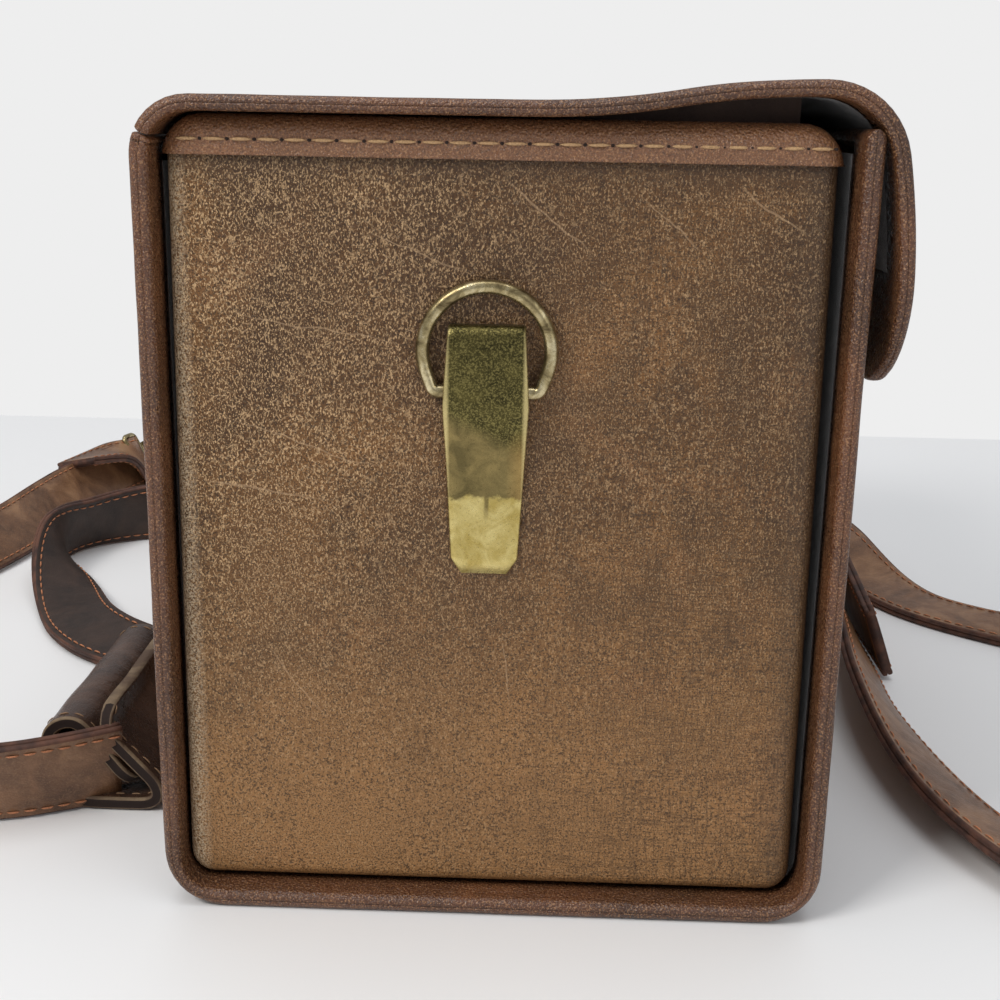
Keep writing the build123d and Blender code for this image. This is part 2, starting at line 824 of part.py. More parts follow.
def end_height(lean):
    """Height of a hook's axis above the table, with its lowest corner on the table."""
    turn = math.radians(abs(lean))
    fold_side = fold_half() + strap_thickness / 2
    fold_low = strap_width / 2 * math.cos(turn) + fold_side * math.sin(turn)
    eye_half = strap_width / 2 + fold_gap + eye_wire / 2
    eye_low = eye_half * math.cos(turn) + eye_wire / 2
    return max(fold_low, eye_low)


def placed(hook, shape):
    """Put a shape that is drawn about the bar's centre, along +Y, where its hook lies."""
    x, y, heading, lean = hook[:4]
    turned = Rot(0, 0, -heading) * Rot(0, -lean, 0) * shape
    return Pos(x, y, end_height(lean)) * turned


def strap_end(hook):
    """The strap's end folded round the hook's bar and laid back beside itself."""
    tab_side, tab_length = hook[4:]
    half = fold_half()
    lead = tab_length + strap_end_lead
    strand = Line((-tab_side * half, -lead), (-tab_side * half, 0))
    bend = ThreePointArc((-tab_side * half, 0), (0, half), (tab_side * half, 0))
    tab = Line((tab_side * half, 0), (tab_side * half, -tab_length))
    route = Wire(strand.edges() + bend.edges() + tab.edges())
    start = Plane(route @ 0, x_dir=(0, 0, 1), z_dir=route % 0)
    return sweep(start * Rectangle(strap_width, strap_thickness), path=route)


def shoulder_pad():
    """Wide double leather pad, curled lengthwise beside the case."""
    half = pad_thickness / 2
    section = [
        (6, 7.5), (-6.5, 23), (-12.5, 27), (-17.5, 22.5), (-18.5, 9), (-11, 2),
        (5, half + 0.05), (14, 5.5), (2.6, 20), (0, 28.5),
    ]
    points = [(pad_x + x, z) for x, z in section]
    runs = [Vector(*b) - Vector(*a) for a, b in zip(points, points[1:])]
    radii = []
    for first, second in zip(runs, runs[1:]):
        half_turn = math.radians(first.get_angle(second)) / 2
        radii.append(0.42 * min(first.length, second.length) / math.tan(half_turn))
    route = FilletPolyline(*points, radius=radii)
    upright = Plane.XZ.offset(-pad_near_y) * route
    start = Plane(upright @ 0, x_dir=(0, 1, 0), z_dir=upright % 0)
    length = pad_far_y - pad_near_y
    sheet_section = start * Pos(length / 2, 0) * Rectangle(length, pad_thickness)
    return sweep(sheet_section, path=upright)


def hook_eye():
    """Wire loop that the strap is folded on, with the swivel's boss."""
    half = strap_width / 2 + fold_gap + eye_wire / 2
    points = [(0, 0), (0, half), (eye_length, half), (eye_length, 0)]
    upper = FilletPolyline(*points, radius=eye_wire)
    lower = mirror(upper, about=Plane.XZ)
    flat = Wire(upper.edges() + lower.edges())
    route = Plane((0, 0, 0), x_dir=(0, 1, 0), z_dir=(1, 0, 0)) * flat
    section = Plane(route @ 0, z_dir=route % 0) * Circle(eye_wire / 2)
    loop = sweep(section, path=route)
    boss_start = eye_length - boss_length / 2
    boss = rod_y(boss_radius, boss_start, boss_start + boss_length, 0, 0)
    bore = rod_y(swivel_radius + swivel_clearance, 0, 2 * eye_length, 0, 0)
    return loop + boss - bore


def hook_base_y():
    """Where the hook's base starts, just past the eye's boss."""
    return eye_length + boss_length / 2 + swivel_gap


def gate_pivot():
    """The gate's pin position as (y, z)."""
    return hook_base_y() + hook_base + gate_pin_offset, hook_bend


def hook_body():
    """Swivelling hook: a post with a head, a base with two ears and a round wire."""
    base_y = hook_base_y()
    base_end = base_y + hook_base
    head_end = eye_length - boss_length / 2 - swivel_gap
    post = rod_y(swivel_radius, head_end - hook_overlap, base_y + hook_overlap, 0, 0)
    head = rod_y(boss_radius - head_inset, head_end - swivel_head, head_end, 0, 0)
    high = hook_bend + gate_wire / 2 + hook_overlap
    low = -hook_bend - hook_wire / 2
    base = block(-hook_half, hook_half, base_y, base_end, low, high)
    pin_y, pin_z = gate_pivot()
    ear_start = base_end - hook_overlap
    ears = block(-hook_half, hook_half, ear_start, pin_y + ear_reach, pin_z - ear_drop, high)
    body = fillet((base + ears).edges().filter_by(Axis.Y), ear_round)
    slot_low = pin_z - slot_drop
    slot = block(-gate_slot, gate_slot, pin_y - slot_back, pin_y + slot_reach, slot_low, high + 1)
    pin_hole = rod_x(gate_pin_radius, -hook_half - 1, hook_half + 1, pin_y, pin_z)
    return (body + hook_wire_solid(base_end - hook_overlap) + post + head) - slot - pin_hole


def hook_wire_solid(y):
    """The hook's round wire, from its base round to the gate's tip."""
    run = Line((y, -hook_bend), (y + hook_reach, -hook_bend))
    bend = CenterArc((y + hook_reach, 0), hook_bend, -90, 180)
    tip = Line((y + hook_reach, hook_bend), (y + hook_reach - hook_lip, hook_bend))
    flat = Wire(run.edges() + bend.edges() + tip.edges())
    route = Plane((0, 0, 0), x_dir=(0, 1, 0), z_dir=(1, 0, 0)) * flat
    section = Plane(route @ 0, z_dir=route % 0) * Circle(hook_wire / 2)
    return sweep(section, path=route)


def hook_gate():
    """Spring gate that closes the hook."""
    pin_y, pin_z = gate_pivot()
    tip_y = hook_base_y() + hook_base - hook_overlap + hook_reach - hook_lip
    half = gate_slot - gate_side_gap
    disc = rod_x(gate_disc_radius, -half, half, pin_y, pin_z)
    low = pin_z - gate_neck_half
    high = pin_z + gate_neck_half
    neck = block(-half, half, pin_y, pin_y + gate_neck_length, low, high)
    bar = rod_y(gate_wire / 2, pin_y + gate_bar_start, tip_y - gate_clearance, 0, pin_z)
    hole = rod_x(gate_pin_radius + swivel_clearance, -hook_half, hook_half, pin_y, pin_z)
    return disc + neck + bar - hole


def hook_pin():
    """Pin that the gate turns on."""
    pin_y, pin_z = gate_pivot()
    return rod_x(gate_pin_radius, -hook_half, hook_half, pin_y, pin_z)


def make_case():
    """Walls, boards and linings of the body."""
    emit("wrap_leather", wrap_leather())
    emit("back_board", back_board())
    emit("bottom_board", bottom_board())
    emit("front_board", front_board())
    emit("body_lining", body_lining())
    emit("base_pad", base_pad_solid())
    emit("divider", divider())


def make_ends():
    """Both ends, the far one mirrored from the near one."""
    makers = {
        "end_panel": end_panel,
        "end_board": end_board,
        "end_foam": end_foam,
        "end_lining": end_lining,
        "end_binding": end_binding,
        "ring": end_ring,
        "lug_plate": lug_plate,
        "lug_rivet": lug_rivet,
    }
    for name, maker in makers.items():
        near = maker()
        emit(f"near_{name}", near)
        emit(f"far_{name}", mirror(near, about=Plane.XZ))


def make_lid():
    """Lid, flap and the hasp on it."""
    emit("lid_leather", lid_leather())
    emit("lid_stiffener", lid_stiffener())
    emit("lid_lining", lid_lining())
    emit("hasp", hasp())
    emit("hasp_rivets", hasp_rivets())


def make_lock():
    """Lock on the front wall."""
    emit("lock_case", lock_case())
    emit("lock_rivets", lock_rivets())
    emit("lock_bolt", lock_bolt())
    emit("lock_button", lock_button())


def make_strap():
    """Shoulder strap, its pad, folded ends and snap hooks."""
    emit("strap_a", strap(route_a, "strap_a"))
    emit("strap_b", strap(route_b, "strap_b"))
    emit("shoulder_pad", shoulder_pad())
    makers = {
        "hook_eye": hook_eye,
        "hook_body": hook_body,
        "hook_gate": hook_gate,
        "hook_pin": hook_pin,
    }
    for side, hook in (("a", hook_a), ("b", hook_b)):
        emit(f"strap_end_{side}", placed(hook, strap_end(hook)))
        for name, maker in makers.items():
            emit(f"{name}_{side}", placed(hook, maker()))


make_case()
make_ends()
make_lid()
make_lock()
make_strap()
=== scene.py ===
import math

import bpy
from mathutils import Matrix, Vector, noise


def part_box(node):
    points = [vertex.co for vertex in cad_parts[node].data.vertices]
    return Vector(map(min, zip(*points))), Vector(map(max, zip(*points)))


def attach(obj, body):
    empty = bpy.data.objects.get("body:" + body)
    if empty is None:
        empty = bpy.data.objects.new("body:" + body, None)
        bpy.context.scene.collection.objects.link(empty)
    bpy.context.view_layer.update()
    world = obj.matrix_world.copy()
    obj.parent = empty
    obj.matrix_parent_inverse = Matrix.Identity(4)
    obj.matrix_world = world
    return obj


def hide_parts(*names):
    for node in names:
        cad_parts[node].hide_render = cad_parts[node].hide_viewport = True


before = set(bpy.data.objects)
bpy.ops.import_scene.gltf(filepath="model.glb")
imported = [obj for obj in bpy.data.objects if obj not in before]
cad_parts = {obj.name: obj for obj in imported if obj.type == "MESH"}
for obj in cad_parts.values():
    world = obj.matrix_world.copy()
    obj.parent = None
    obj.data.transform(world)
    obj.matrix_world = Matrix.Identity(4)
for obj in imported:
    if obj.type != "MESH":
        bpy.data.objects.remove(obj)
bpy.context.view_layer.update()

# Sizes read from the frame, in metres
wrap_low, wrap_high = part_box("wrap_leather")
lid_low, lid_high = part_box("lid_leather")
panel_low, panel_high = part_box("near_end_panel")
lug_low, lug_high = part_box("near_lug_plate")
pad_low, pad_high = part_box("shoulder_pad")
half_width = wrap_high[0]
half_length = wrap_high[1]
front_top = wrap_high[2]
lid_peak = lid_high[2]
flap_low = lid_low[2]
lug_x = (lug_low[0] + lug_high[0]) / 2

# Sizes of the leather work, in metres, as in the source of the solids
wall = 0.0042
skin = 0.0014
corner_radius = 0.014
rear_radius = 0.013
seam_angle = 154
seam_gap = 0.00015
lid_top = lid_peak - 0.005
lid_thickness = 0.0034
lid_skin = 0.0013
rise_start = 0.006
front_top_x = 0.066
front_top_radius = 0.018
front_turn_end = 12
flap_radius = 0.165
flap_end_angle = -6
flap_corner_radius = 0.026
rim_depth = 0.0118
rim_recess = 0.006
panel_shift = -0.0008
panel_bottom_gap = 0.0009
panel_bottom_half = 0.073
panel_top_half = 0.0714
panel_bottom_radius = 0.006
panel_top_radius = 0.008
panel_edge_round = 0.0035
lug_corner_radius = 0.0021
binding_thickness = 0.0012
binding_drop = 0.0086
stitch_drop = 0.0053
binding_pitch = 0.0058
binding_end_gap = 0.0012
hole_depth = 0.00025
panel_face = half_length - rim_recess
panel_thickness = 0.0058
panel_back = panel_face - panel_thickness
lug_thickness = 0.0012
strap_width = 0.025
strap_thickness = 0.0036
bar_fold = 0.0033
eye_overhang = 0.0015
eye_wire = 0.0024
rear_x = -half_width + rear_radius
rear_z = lid_top - rear_radius
front_top_z = lid_peak - front_top_radius

# Steps of the meshes and the rounding of the leather's ends and the lock's edges, in metres
lock_edge = 0.00025
station_step = 0.0026
spline_steps = 10
panel_step = 0.0028
cushion_step = 0.004
lip_round = 0.0021
lip_solid = 0.004
seam_round = 0.0007
lid_seam_round = 0.0006
flap_round = 0.0017
edge_radius_share = 0.46
layer_groove = 0.0003
inside_steps = 24
outside_steps = 40

# The table: half its width, and its far edge, which is the line behind the case in the photograph
table_side = 3
table_far_edge = 0.42

# Camera, fitted to the case's straight edges in the photograph
camera_place = (0.0089, -0.4199, 0.1855)
camera_yaw = -1.60
camera_pitch = 15.44
camera_roll = 1.06
camera_lens = 49.95


def make_camera():
    """The camera at the photograph's place and angle."""
    yaw = math.radians(camera_yaw)
    pitch = math.radians(camera_pitch)
    roll = math.radians(camera_roll)
    ahead = Vector((
        math.sin(yaw) * math.cos(pitch),
        math.cos(yaw) * math.cos(pitch),
        -math.sin(pitch),
    ))
    level = Vector((math.cos(yaw), -math.sin(yaw), 0))
    above = level.cross(ahead)
    right = level * math.cos(roll) + above * math.sin(roll)
    up = above * math.cos(roll) - level * math.sin(roll)
    data = bpy.data.cameras.new("camera")
    data.lens = camera_lens
    data.sensor_width = 36
    data.clip_start = 0.01
    camera = bpy.data.objects.new("camera", data)
    bpy.context.scene.collection.objects.link(camera)
    camera.matrix_world = Matrix((
        (right.x, up.x, -ahead.x, camera_place[0]),
        (right.y, up.y, -ahead.y, camera_place[1]),
        (right.z, up.z, -ahead.z, camera_place[2]),
        (0, 0, 0, 1),
    ))
    bpy.context.scene.camera = camera


def new_piece(name, verts, faces, body, material):
    """A mesh piece that rides on a body."""
    mesh = bpy.data.meshes.new(name)
    mesh.from_pydata(verts, [], faces)
    mesh.validate()
    mesh.update()
    mesh.shade_smooth()
    mesh.materials.append(material)
    piece = bpy.data.objects.new(name, mesh)
    bpy.context.scene.collection.objects.link(piece)
    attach(piece, body)
    return piece


def grid_faces(rows, columns, closed=False):
    """Faces between rows of points; closed joins each row's last point to its first."""
    faces = []
    last = columns if closed else columns - 1
    for i in range(rows - 1):
        for j in range(last):
            k = (j + 1) % columns
            faces.append((
                i * columns + j,
                i * columns + k,
                (i + 1) * columns + k,
                (i + 1) * columns + j,
            ))
    return faces


def tube_faces(rows, columns):
    """Faces of a closed tube: its sides, then its two end caps."""
    faces = grid_faces(rows, columns, closed=True)
    last = (rows - 1) * columns
    faces.append(tuple(range(columns))[::-1])
    faces.append(tuple(range(last, last + columns)))
    return faces


def border_of(rows, columns):
    """Indices round the border of a grid of points, in order."""
    border = list(range(columns))
    border += [i * columns + columns - 1 for i in range(1, rows)]
    border += [(rows - 1) * columns + j for j in range(columns - 2, -1, -1)]
    border += [i * columns for i in range(rows - 2, 0, -1)]
    return border


def directions(line):
    """The unit direction of a line at each of its points."""
    runs = []
    for i in range(len(line)):
        before = line[max(i - 1, 0)]
        after = line[min(i + 1, len(line) - 1)]
        runs.append((after - before).normalized())
    return runs


def distances(line):
    """The distance along a line at each of its points."""
    gone = [0.0]
    for before, after in zip(line, line[1:]):
        gone.append(gone[-1] + (after - before).length)
    return gone


# Material helpers

def rgb(red, green, blue):
    """A colour given as it looks on a screen, 0 to 255, turned linear."""
    parts = []
    for value in (red, green, blue):
        share = value / 255
        if share <= 0.04045:
            parts.append(share / 12.92)
        else:
            parts.append(((share + 0.055) / 1.055) ** 2.4)
    return (*parts, 1)


class Shader:
    """Builds one material's nodes with short calls."""

    def __init__(self, name):
        self.material = bpy.data.materials.new(name)
        self.material.use_nodes = True
        self.tree = self.material.node_tree
        self.surface = self.tree.nodes["Principled BSDF"]
        self.place = self.tree.nodes.new("ShaderNodeTexCoord").outputs["Object"]

    def set(self, name, value):
        """Set or link one of the surface's inputs."""
        self.feed(self.surface.inputs[name], value)

    def feed(self, socket, value):
        """Link a socket, or write a plain value into one."""
        if isinstance(value, bpy.types.NodeSocket):
            self.tree.links.new(value, socket)
        else:
            socket.default_value = value

    def stretch(self, scale, turn=(0, 0, 0)):
        """The object's coordinates, turned and stretched."""
        node = self.tree.nodes.new("ShaderNodeMapping")
        self.feed(node.inputs["Vector"], self.place)
        node.inputs["Rotation"].default_value = [math.radians(a) for a in turn]
        node.inputs["Scale"].default_value = scale
        return node.outputs["Vector"]

    def noise(self, scale, detail=3, rough=0.5, distort=0, where=None):
        """Soft noise, 0 to 1."""
        node = self.tree.nodes.new("ShaderNodeTexNoise")
        self.feed(node.inputs["Vector"], where or self.place)
        node.inputs["Scale"].default_value = scale
        node.inputs["Detail"].default_value = detail
        node.inputs["Roughness"].default_value = rough
        node.inputs["Distortion"].default_value = distort
        return node.outputs["Fac"]

    def cells(self, scale, feature="F1", where=None):
        """Distances in a pattern of cells."""
        node = self.tree.nodes.new("ShaderNodeTexVoronoi")
        node.feature = feature
        self.feed(node.inputs["Vector"], where or self.place)
        node.inputs["Scale"].default_value = scale
        return node.outputs["Distance"]

    def ramp(self, value, *stops):
        """A colour or grey for each value: stops are (value, colour or grey)."""
        node = self.tree.nodes.new("ShaderNodeValToRGB")
        self.feed(node.inputs["Fac"], value)
        elements = node.color_ramp.elements
        while len(elements) < len(stops):
            elements.new(0.5)
        for element, (at, colour) in zip(elements, stops):
            element.position = at
            if isinstance(colour, (int, float)):
                colour = (colour, colour, colour, 1)
            element.color = colour
        return node.outputs["Color"]

    def mix(self, share, first, second):
        """Two colours mixed."""
        node = self.tree.nodes.new("ShaderNodeMix")
        node.data_type = "RGBA"
        self.feed(node.inputs["Factor"], share)
        self.feed(node.inputs[6], first)
        self.feed(node.inputs[7], second)
        return node.outputs[2]

    def math(self, kind, first, second=0.0):
        """Arithmetic on two values."""
        node = self.tree.nodes.new("ShaderNodeMath")
        node.operation = kind
        self.feed(node.inputs[0], first)
        self.feed(node.inputs[1], second)
        return node.outputs[0]

    def axis(self, letter):
        """One of the object's coordinates, in metres."""
        node = self.tree.nodes.new("ShaderNodeSeparateXYZ")
        self.feed(node.inputs[0], self.place)
        return node.outputs[letter]

    def between(self, value, low, high):
        """0 below low, 1 above high, straight between."""
        node = self.tree.nodes.new("ShaderNodeMapRange")
        self.feed(node.inputs["Value"], value)
        node.inputs["From Min"].default_value = low
        node.inputs["From Max"].default_value = high
        return node.outputs["Result"]

    def specks(self, scale, low, high, share, where=None):
        """Fine specks: 0 below low, a share above high."""
        return self.ramp(self.noise(scale, 2, 0.6, 0, where), (low, 0.0), (high, share))

    def mark(self, start, stop, width, wobble):
        """A thin mark along a line from one (x, z) to another, in metres."""
        run = (stop[0] - start[0], stop[1] - start[1])
        length = math.hypot(*run)
        run = (run[0] / length, run[1] / length)
        over = self.math("SUBTRACT", self.axis("X"), start[0])
        rise = self.math("SUBTRACT", self.axis("Z"), start[1])
        along_x = self.math("MULTIPLY", over, run[0])
        along = self.math("ADD", along_x, self.math("MULTIPLY", rise, run[1]))
        off_x = self.math("MULTIPLY", over, -run[1])
        off = self.math("ADD", off_x, self.math("MULTIPLY", rise, run[0]))
        off = self.math("ADD", off, self.math("MULTIPLY", wobble, 0.004))
        near = self.between(self.math("ABSOLUTE", off), width, width * 0.4)
        begun = self.between(along, 0.0, length * 0.2)
        unfinished = self.between(along, length, length * 0.7)
        return self.math("MULTIPLY", near, self.math("MULTIPLY", begun, unfinished))

    def bump(self, height, depth, strength=1.0, under=None):
        """Surface relief of a given depth in metres."""
        node = self.tree.nodes.new("ShaderNodeBump")
        self.feed(node.inputs["Height"], height)
        node.inputs["Distance"].default_value = depth
        node.inputs["Strength"].default_value = strength
        if under is not None:
            self.feed(node.inputs["Normal"], under)
        return node.outputs["Normal"]


def grain_relief(shader, fine, depth):
    """Pebbled grain with soft folds under it."""
    warp = shader.noise(fine * 0.35, 2)
    pebbles = shader.cells(fine)
    pores = shader.noise(fine * 2.2, 4, 0.6)
    folds = shader.noise(90, 4, 0.55, 0.6)
    soft = shader.bump(folds, depth * 5, 0.5)
    pebble_height = shader.math("SUBTRACT", warp, pebbles)
    rough = shader.bump(pebble_height, depth, 0.8, soft)
    return shader.bump(pores, depth * 0.6, 0.7, rough)


def rim_leather(name, lift):
    """Reddish brown leather of the rims and lid, with painted highlights speckled pale on its grain; lift
    lightens it as painted light.
    """
    shader = Shader(name)
    cloud = shader.noise(30, 5, 0.6, 0.4)
    tone = shader.ramp(cloud, (0.32, rgb(62, 37, 22)), (0.5, rgb(84, 50, 31)), (0.7, rgb(112, 69, 42)))
    # lift mixes in a pale tone: painted light, used for the binding's lighter copy.
    tone = shader.mix(lift, tone, rgb(150, 104, 70))
    # Painted highlights: pale glints speckled over the grain.
    tone = shader.mix(shader.specks(2400, 0.52, 0.64, 0.55), tone, rgb(184, 138, 96))
    tone = shader.mix(shader.specks(2200, 0.52, 0.66, 0.5), tone, rgb(44, 27, 19))
    shader.set("Base Color", tone)
    shader.set("Roughness", shader.ramp(shader.noise(900, 4, 0.6), (0.35, 0.46), (0.6, 0.24)))
    shader.set("Specular IOR Level", 0.55)
    shader.set("Normal", grain_relief(shader, 1500, 0.0003))
    return shader.material


# Pale scratches on the end panel: start and stop as (x, z), half width
panel_marks = [
    ((0.000, 0.1735), (0.021, 0.1560), 0.00028),
    ((0.029, 0.1700), (0.044, 0.1580), 0.00022),
    ((0.0495, 0.1720), (0.066, 0.1620), 0.00030),
    ((-0.060, 0.1430), (-0.020, 0.1370), 0.00022),
    ((-0.068, 0.1052), (-0.036, 0.1013), 0.00030),
    ((-0.062, 0.1200), (-0.022, 0.1080), 0.00022),
    ((-0.0535, 0.0660), (-0.0385, 0.0470), 0.00025),
    ((0.001, 0.0690), (0.004, 0.0520), 0.00018),
    ((-0.030, 0.1620), (-0.006, 0.1520), 0.00020),
]


def panel_clouds(shader, height, across):
    """The panel's large soft shades: mottled, paler low down, darker in the upper middle."""
    cloud = shader.noise(13, 5, 0.6, 1.2)
    smoke = shader.noise(30, 5, 0.6, 2.0, shader.stretch((1, 1, 0.7), (0, 35, 0)))
    tone = shader.ramp(
        cloud,
        (0.32, rgb(74, 48, 23)),
        (0.46, rgb(97, 65, 33)),
        (0.58, rgb(115, 79, 42)),
        (0.74, rgb(142, 99, 56)),
    )
    low_down = shader.between(height, 0.1, 0.03)
    tone = shader.mix(shader.math("MULTIPLY", low_down, 0.7), tone, rgb(164, 120, 74))
    shade = shader.ramp(smoke, (0.34, 0.7), (0.52, 0.0))
    shade = shader.math("MULTIPLY", shade, shader.between(height, 0.01, 0.09))
    tone = shader.mix(shade, tone, rgb(80, 54, 29))
    from_middle = shader.math("ABSOLUTE", shader.math("SUBTRACT", height, 0.105))
    middle = shader.between(from_middle, 0.05, 0.0)
    inner = shader.between(shader.math("ABSOLUTE", across), 0.045, 0.01)
    hollow = shader.math("MULTIPLY", shader.math("MULTIPLY", middle, inner), 0.3)
    tone = shader.mix(hollow, tone, rgb(76, 54, 31))
    leaf = shader.ramp(shader.noise(19, 3, 0.5, 1.5), (0.55, 0.0), (0.72, 0.35))
    return shader.mix(leaf, tone, rgb(152, 106, 66))


def panel_cracks(shader, creased, slant):
    """Broken fine cracks: 1 on a crack where the leather is creased most."""
    cracks = shader.ramp(shader.cells(760, "DISTANCE_TO_EDGE", slant), (0.02, 1.0), (0.1, 0.0))
    broken = shader.ramp(shader.noise(420, 3, 0.6), (0.44, 0.0), (0.56, 1.0))
    return shader.math("MULTIPLY", cracks, shader.math("MULTIPLY", broken, creased))


def panel_specks(shader, tone, across, creased, slant, cracks):
    """Pale and dark specks, and a woven look on the right."""
    pale_fine = shader.specks(2700, 0.53, 0.62, 0.95, slant)
    pale_share = shader.math("ADD", shader.math("MULTIPLY", creased, 0.7), 0.3)
    pale_fine = shader.math("MULTIPLY", pale_fine, pale_share)
    pale = shader.math("MAXIMUM", shader.math("MULTIPLY", cracks, 0.7), pale_fine)
    tone = shader.mix(pale, tone, rgb(206, 170, 126))
    tone = shader.mix(shader.specks(2500, 0.51, 0.61, 0.8), tone, rgb(50, 33, 18))
    upright = shader.specks(2300, 0.5, 0.62, 0.5, shader.stretch((1, 1, 0.08)))
    level = shader.specks(2300, 0.5, 0.62, 0.5, shader.stretch((0.08, 1, 1)))
    weave = shader.math("MAXIMUM", upright, level)
    right = shader.between(across, -0.03, 0.04)
    return shader.mix(shader.math("MULTIPLY", weave, right), tone, rgb(66, 46, 29))


def panel_scratches_and_painted_light(shader, tone, height, across):
    """Scratches, with painted light: a painted highlight along the left edge, and painted shade at the
    right edge and under the binding.
    """
    wobble = shader.math("SUBTRACT", shader.noise(70, 3, 0.6), 0.5)
    for start, stop, width in panel_marks:
        scratch = shader.math("MULTIPLY", shader.mark(start, stop, width, wobble), 0.4)
        tone = shader.mix(scratch, tone, rgb(186, 154, 118))
    # Painted highlight: a speckled pale sheen on the rounded left edge, where the light from the upper left
    # catches it.
    glow = shader.specks(2200, 0.4, 0.62, 0.9)
    sheen = shader.math("MULTIPLY", shader.between(across, -0.0668, -0.0708), glow)
    tone = shader.mix(sheen, tone, rgb(226, 204, 172))
    # Painted shade: the right edge is darkened where it turns away from the light.
    dim = shader.math("MULTIPLY", shader.between(across, 0.063, 0.0715), 0.5)
    tone = shader.mix(dim, tone, rgb(74, 60, 48))
    # Painted shade: the panel is darkened just under the binding.
    under = shader.math("MULTIPLY", shader.between(height, 0.171, 0.176), 0.5)
    return shader.mix(under, tone, rgb(60, 42, 28))


def panel_leather():
    """Mottled tan and brown leather of the ends, with fine pale creases."""
    shader = Shader("panel_leather")
    height = shader.axis("Z")
    across = shader.math("SUBTRACT", shader.axis("X"), panel_shift)
    upper = shader.between(height, 0.03, 0.11)
    left = shader.between(across, 0.02, -0.06)
    left_share = shader.math("ADD", shader.math("MULTIPLY", left, 0.6), 0.4)
    creased = shader.math("MULTIPLY", upper, left_share)
    slant = shader.stretch((1, 1, 0.55), (0, 40, 0))
    cracks = panel_cracks(shader, creased, slant)
    tone = panel_clouds(shader, height, across)
    tone = panel_specks(shader, tone, across, creased, slant, cracks)
    tone = panel_scratches_and_painted_light(shader, tone, height, across)
    relief = grain_relief(shader, 1900, 0.0002)
    relief = shader.bump(shader.math("SUBTRACT", 0.0, cracks), 0.00014, 0.8, relief)
    shader.set("Base Color", tone)
    shader.set("Roughness", shader.ramp(shader.noise(700, 4, 0.6), (0.35, 0.52), (0.62, 0.34)))
    shader.set("Specular IOR Level", 0.35)
    shader.set("Normal", relief)
    return shader.material


def strap_leather(name, face, dark, pale, gloss):
    """Smooth strap leather with rubbed patches."""
    shader = Shader(name)
    cloud = shader.noise(60, 5, 0.6, 0.8)
    rub = shader.noise(210, 5, 0.65)
    tone = shader.ramp(cloud, (0.32, dark), (0.5, face), (0.72, pale))
    tone = shader.mix(shader.ramp(rub, (0.5, 0.0), (0.72, 0.3)), tone, pale)
    tone = shader.mix(shader.specks(1900, 0.52, 0.68, 0.35), tone, pale)
    shader.set("Base Color", tone)
    shader.set("Roughness", shader.ramp(rub, (0.3, gloss + 0.12), (0.7, gloss)))
    shader.set("Specular IOR Level", 0.4)
    shader.set("Normal", grain_relief(shader, 1600, 0.0001))
    return shader.material


def cut_edge(name, first, second):
    """A cut leather edge with fibres."""
    shader = Shader(name)
    fibre = shader.noise(900, 4, 0.7)
    cloud = shader.noise(120, 4, 0.6)
    tone = shader.mix(shader.ramp(cloud, (0.4, 0.0), (0.6, 1.0)), first, second)
    tone = shader.mix(shader.math("MULTIPLY", fibre, 0.4), tone, rgb(60, 34, 26))
    shader.set("Base Color", tone)
    shader.set("Roughness", 0.7)
    shader.set("Normal", shader.bump(fibre, 0.0003, 0.7))
    return shader.material


def thread(name, colour):
    """Twisted sewing thread."""
    shader = Shader(name)
    twist = shader.noise(2600, 2, 0.5)
    shader.set("Base Color", shader.mix(twist, colour, rgb(120, 80, 52)))
    shader.set("Roughness", 0.75)
    shader.set("Normal", shader.bump(twist, 0.0002, 0.8))
    return shader.material


def brass(name, bright, dull, dark, gloss):
    """Old brass, clean where it is rubbed and brown where it isn't."""
    shader = Shader(name)
    cloud = shader.noise(240, 5, 0.65, 0.5)
    spots = shader.noise(1500, 4, 0.7)
    tone = shader.ramp(cloud, (0.34, dark), (0.5, dull), (0.66, bright))
    tone = shader.mix(shader.ramp(spots, (0.58, 0.0), (0.74, 0.6)), tone, dark)
    shader.set("Base Color", tone)
    shader.set("Metallic", 0.92)
    shader.set("Roughness", shader.ramp(cloud, (0.35, gloss + 0.2), (0.65, gloss)))
    shader.set("Normal", shader.bump(spots, 0.00006, 0.6))
    return shader.material


def lug_tarnish_and_dark_reflection(shader, height, across, cloud):
    """Dark grainy tarnish above, darkened further as a painted dark reflection, brown below it, with a
    warmer streak on the right.
    """
    foot = lug_low[2]
    grit = shader.noise(2600, 3, 0.6)
    # Partly patina, partly painted reflection: the upper part's dark olive also stands for the dark room
    # reflected in the metal.
    tarnish_and_dark_reflection = shader.ramp(cloud, (0.35, rgb(54, 50, 27)), (0.65, rgb(90, 82, 45)))
    tarnish_and_dark_reflection = shader.mix(shader.ramp(grit, (0.47, 0.0), (0.62, 0.65)), tarnish_and_dark_reflection, rgb(150, 138, 84))
    brown = shader.ramp(cloud, (0.35, rgb(104, 92, 58)), (0.65, rgb(146, 128, 82)))
    slant = shader.math("ADD", height, shader.math("MULTIPLY", across, 0.5))
    lower = shader.between(slant, foot + 0.0345, foot + 0.0305)
    unrubbed_tone = shader.mix(lower, tarnish_and_dark_reflection, brown)
    beside = shader.between(across, 0.0045, 0.0075)
    below = shader.between(height, foot + 0.034, foot + 0.028)
    streak = shader.math("MULTIPLY", beside, below)
    return shader.mix(shader.math("MULTIPLY", streak, 0.5), unrubbed_tone, rgb(172, 140, 84))


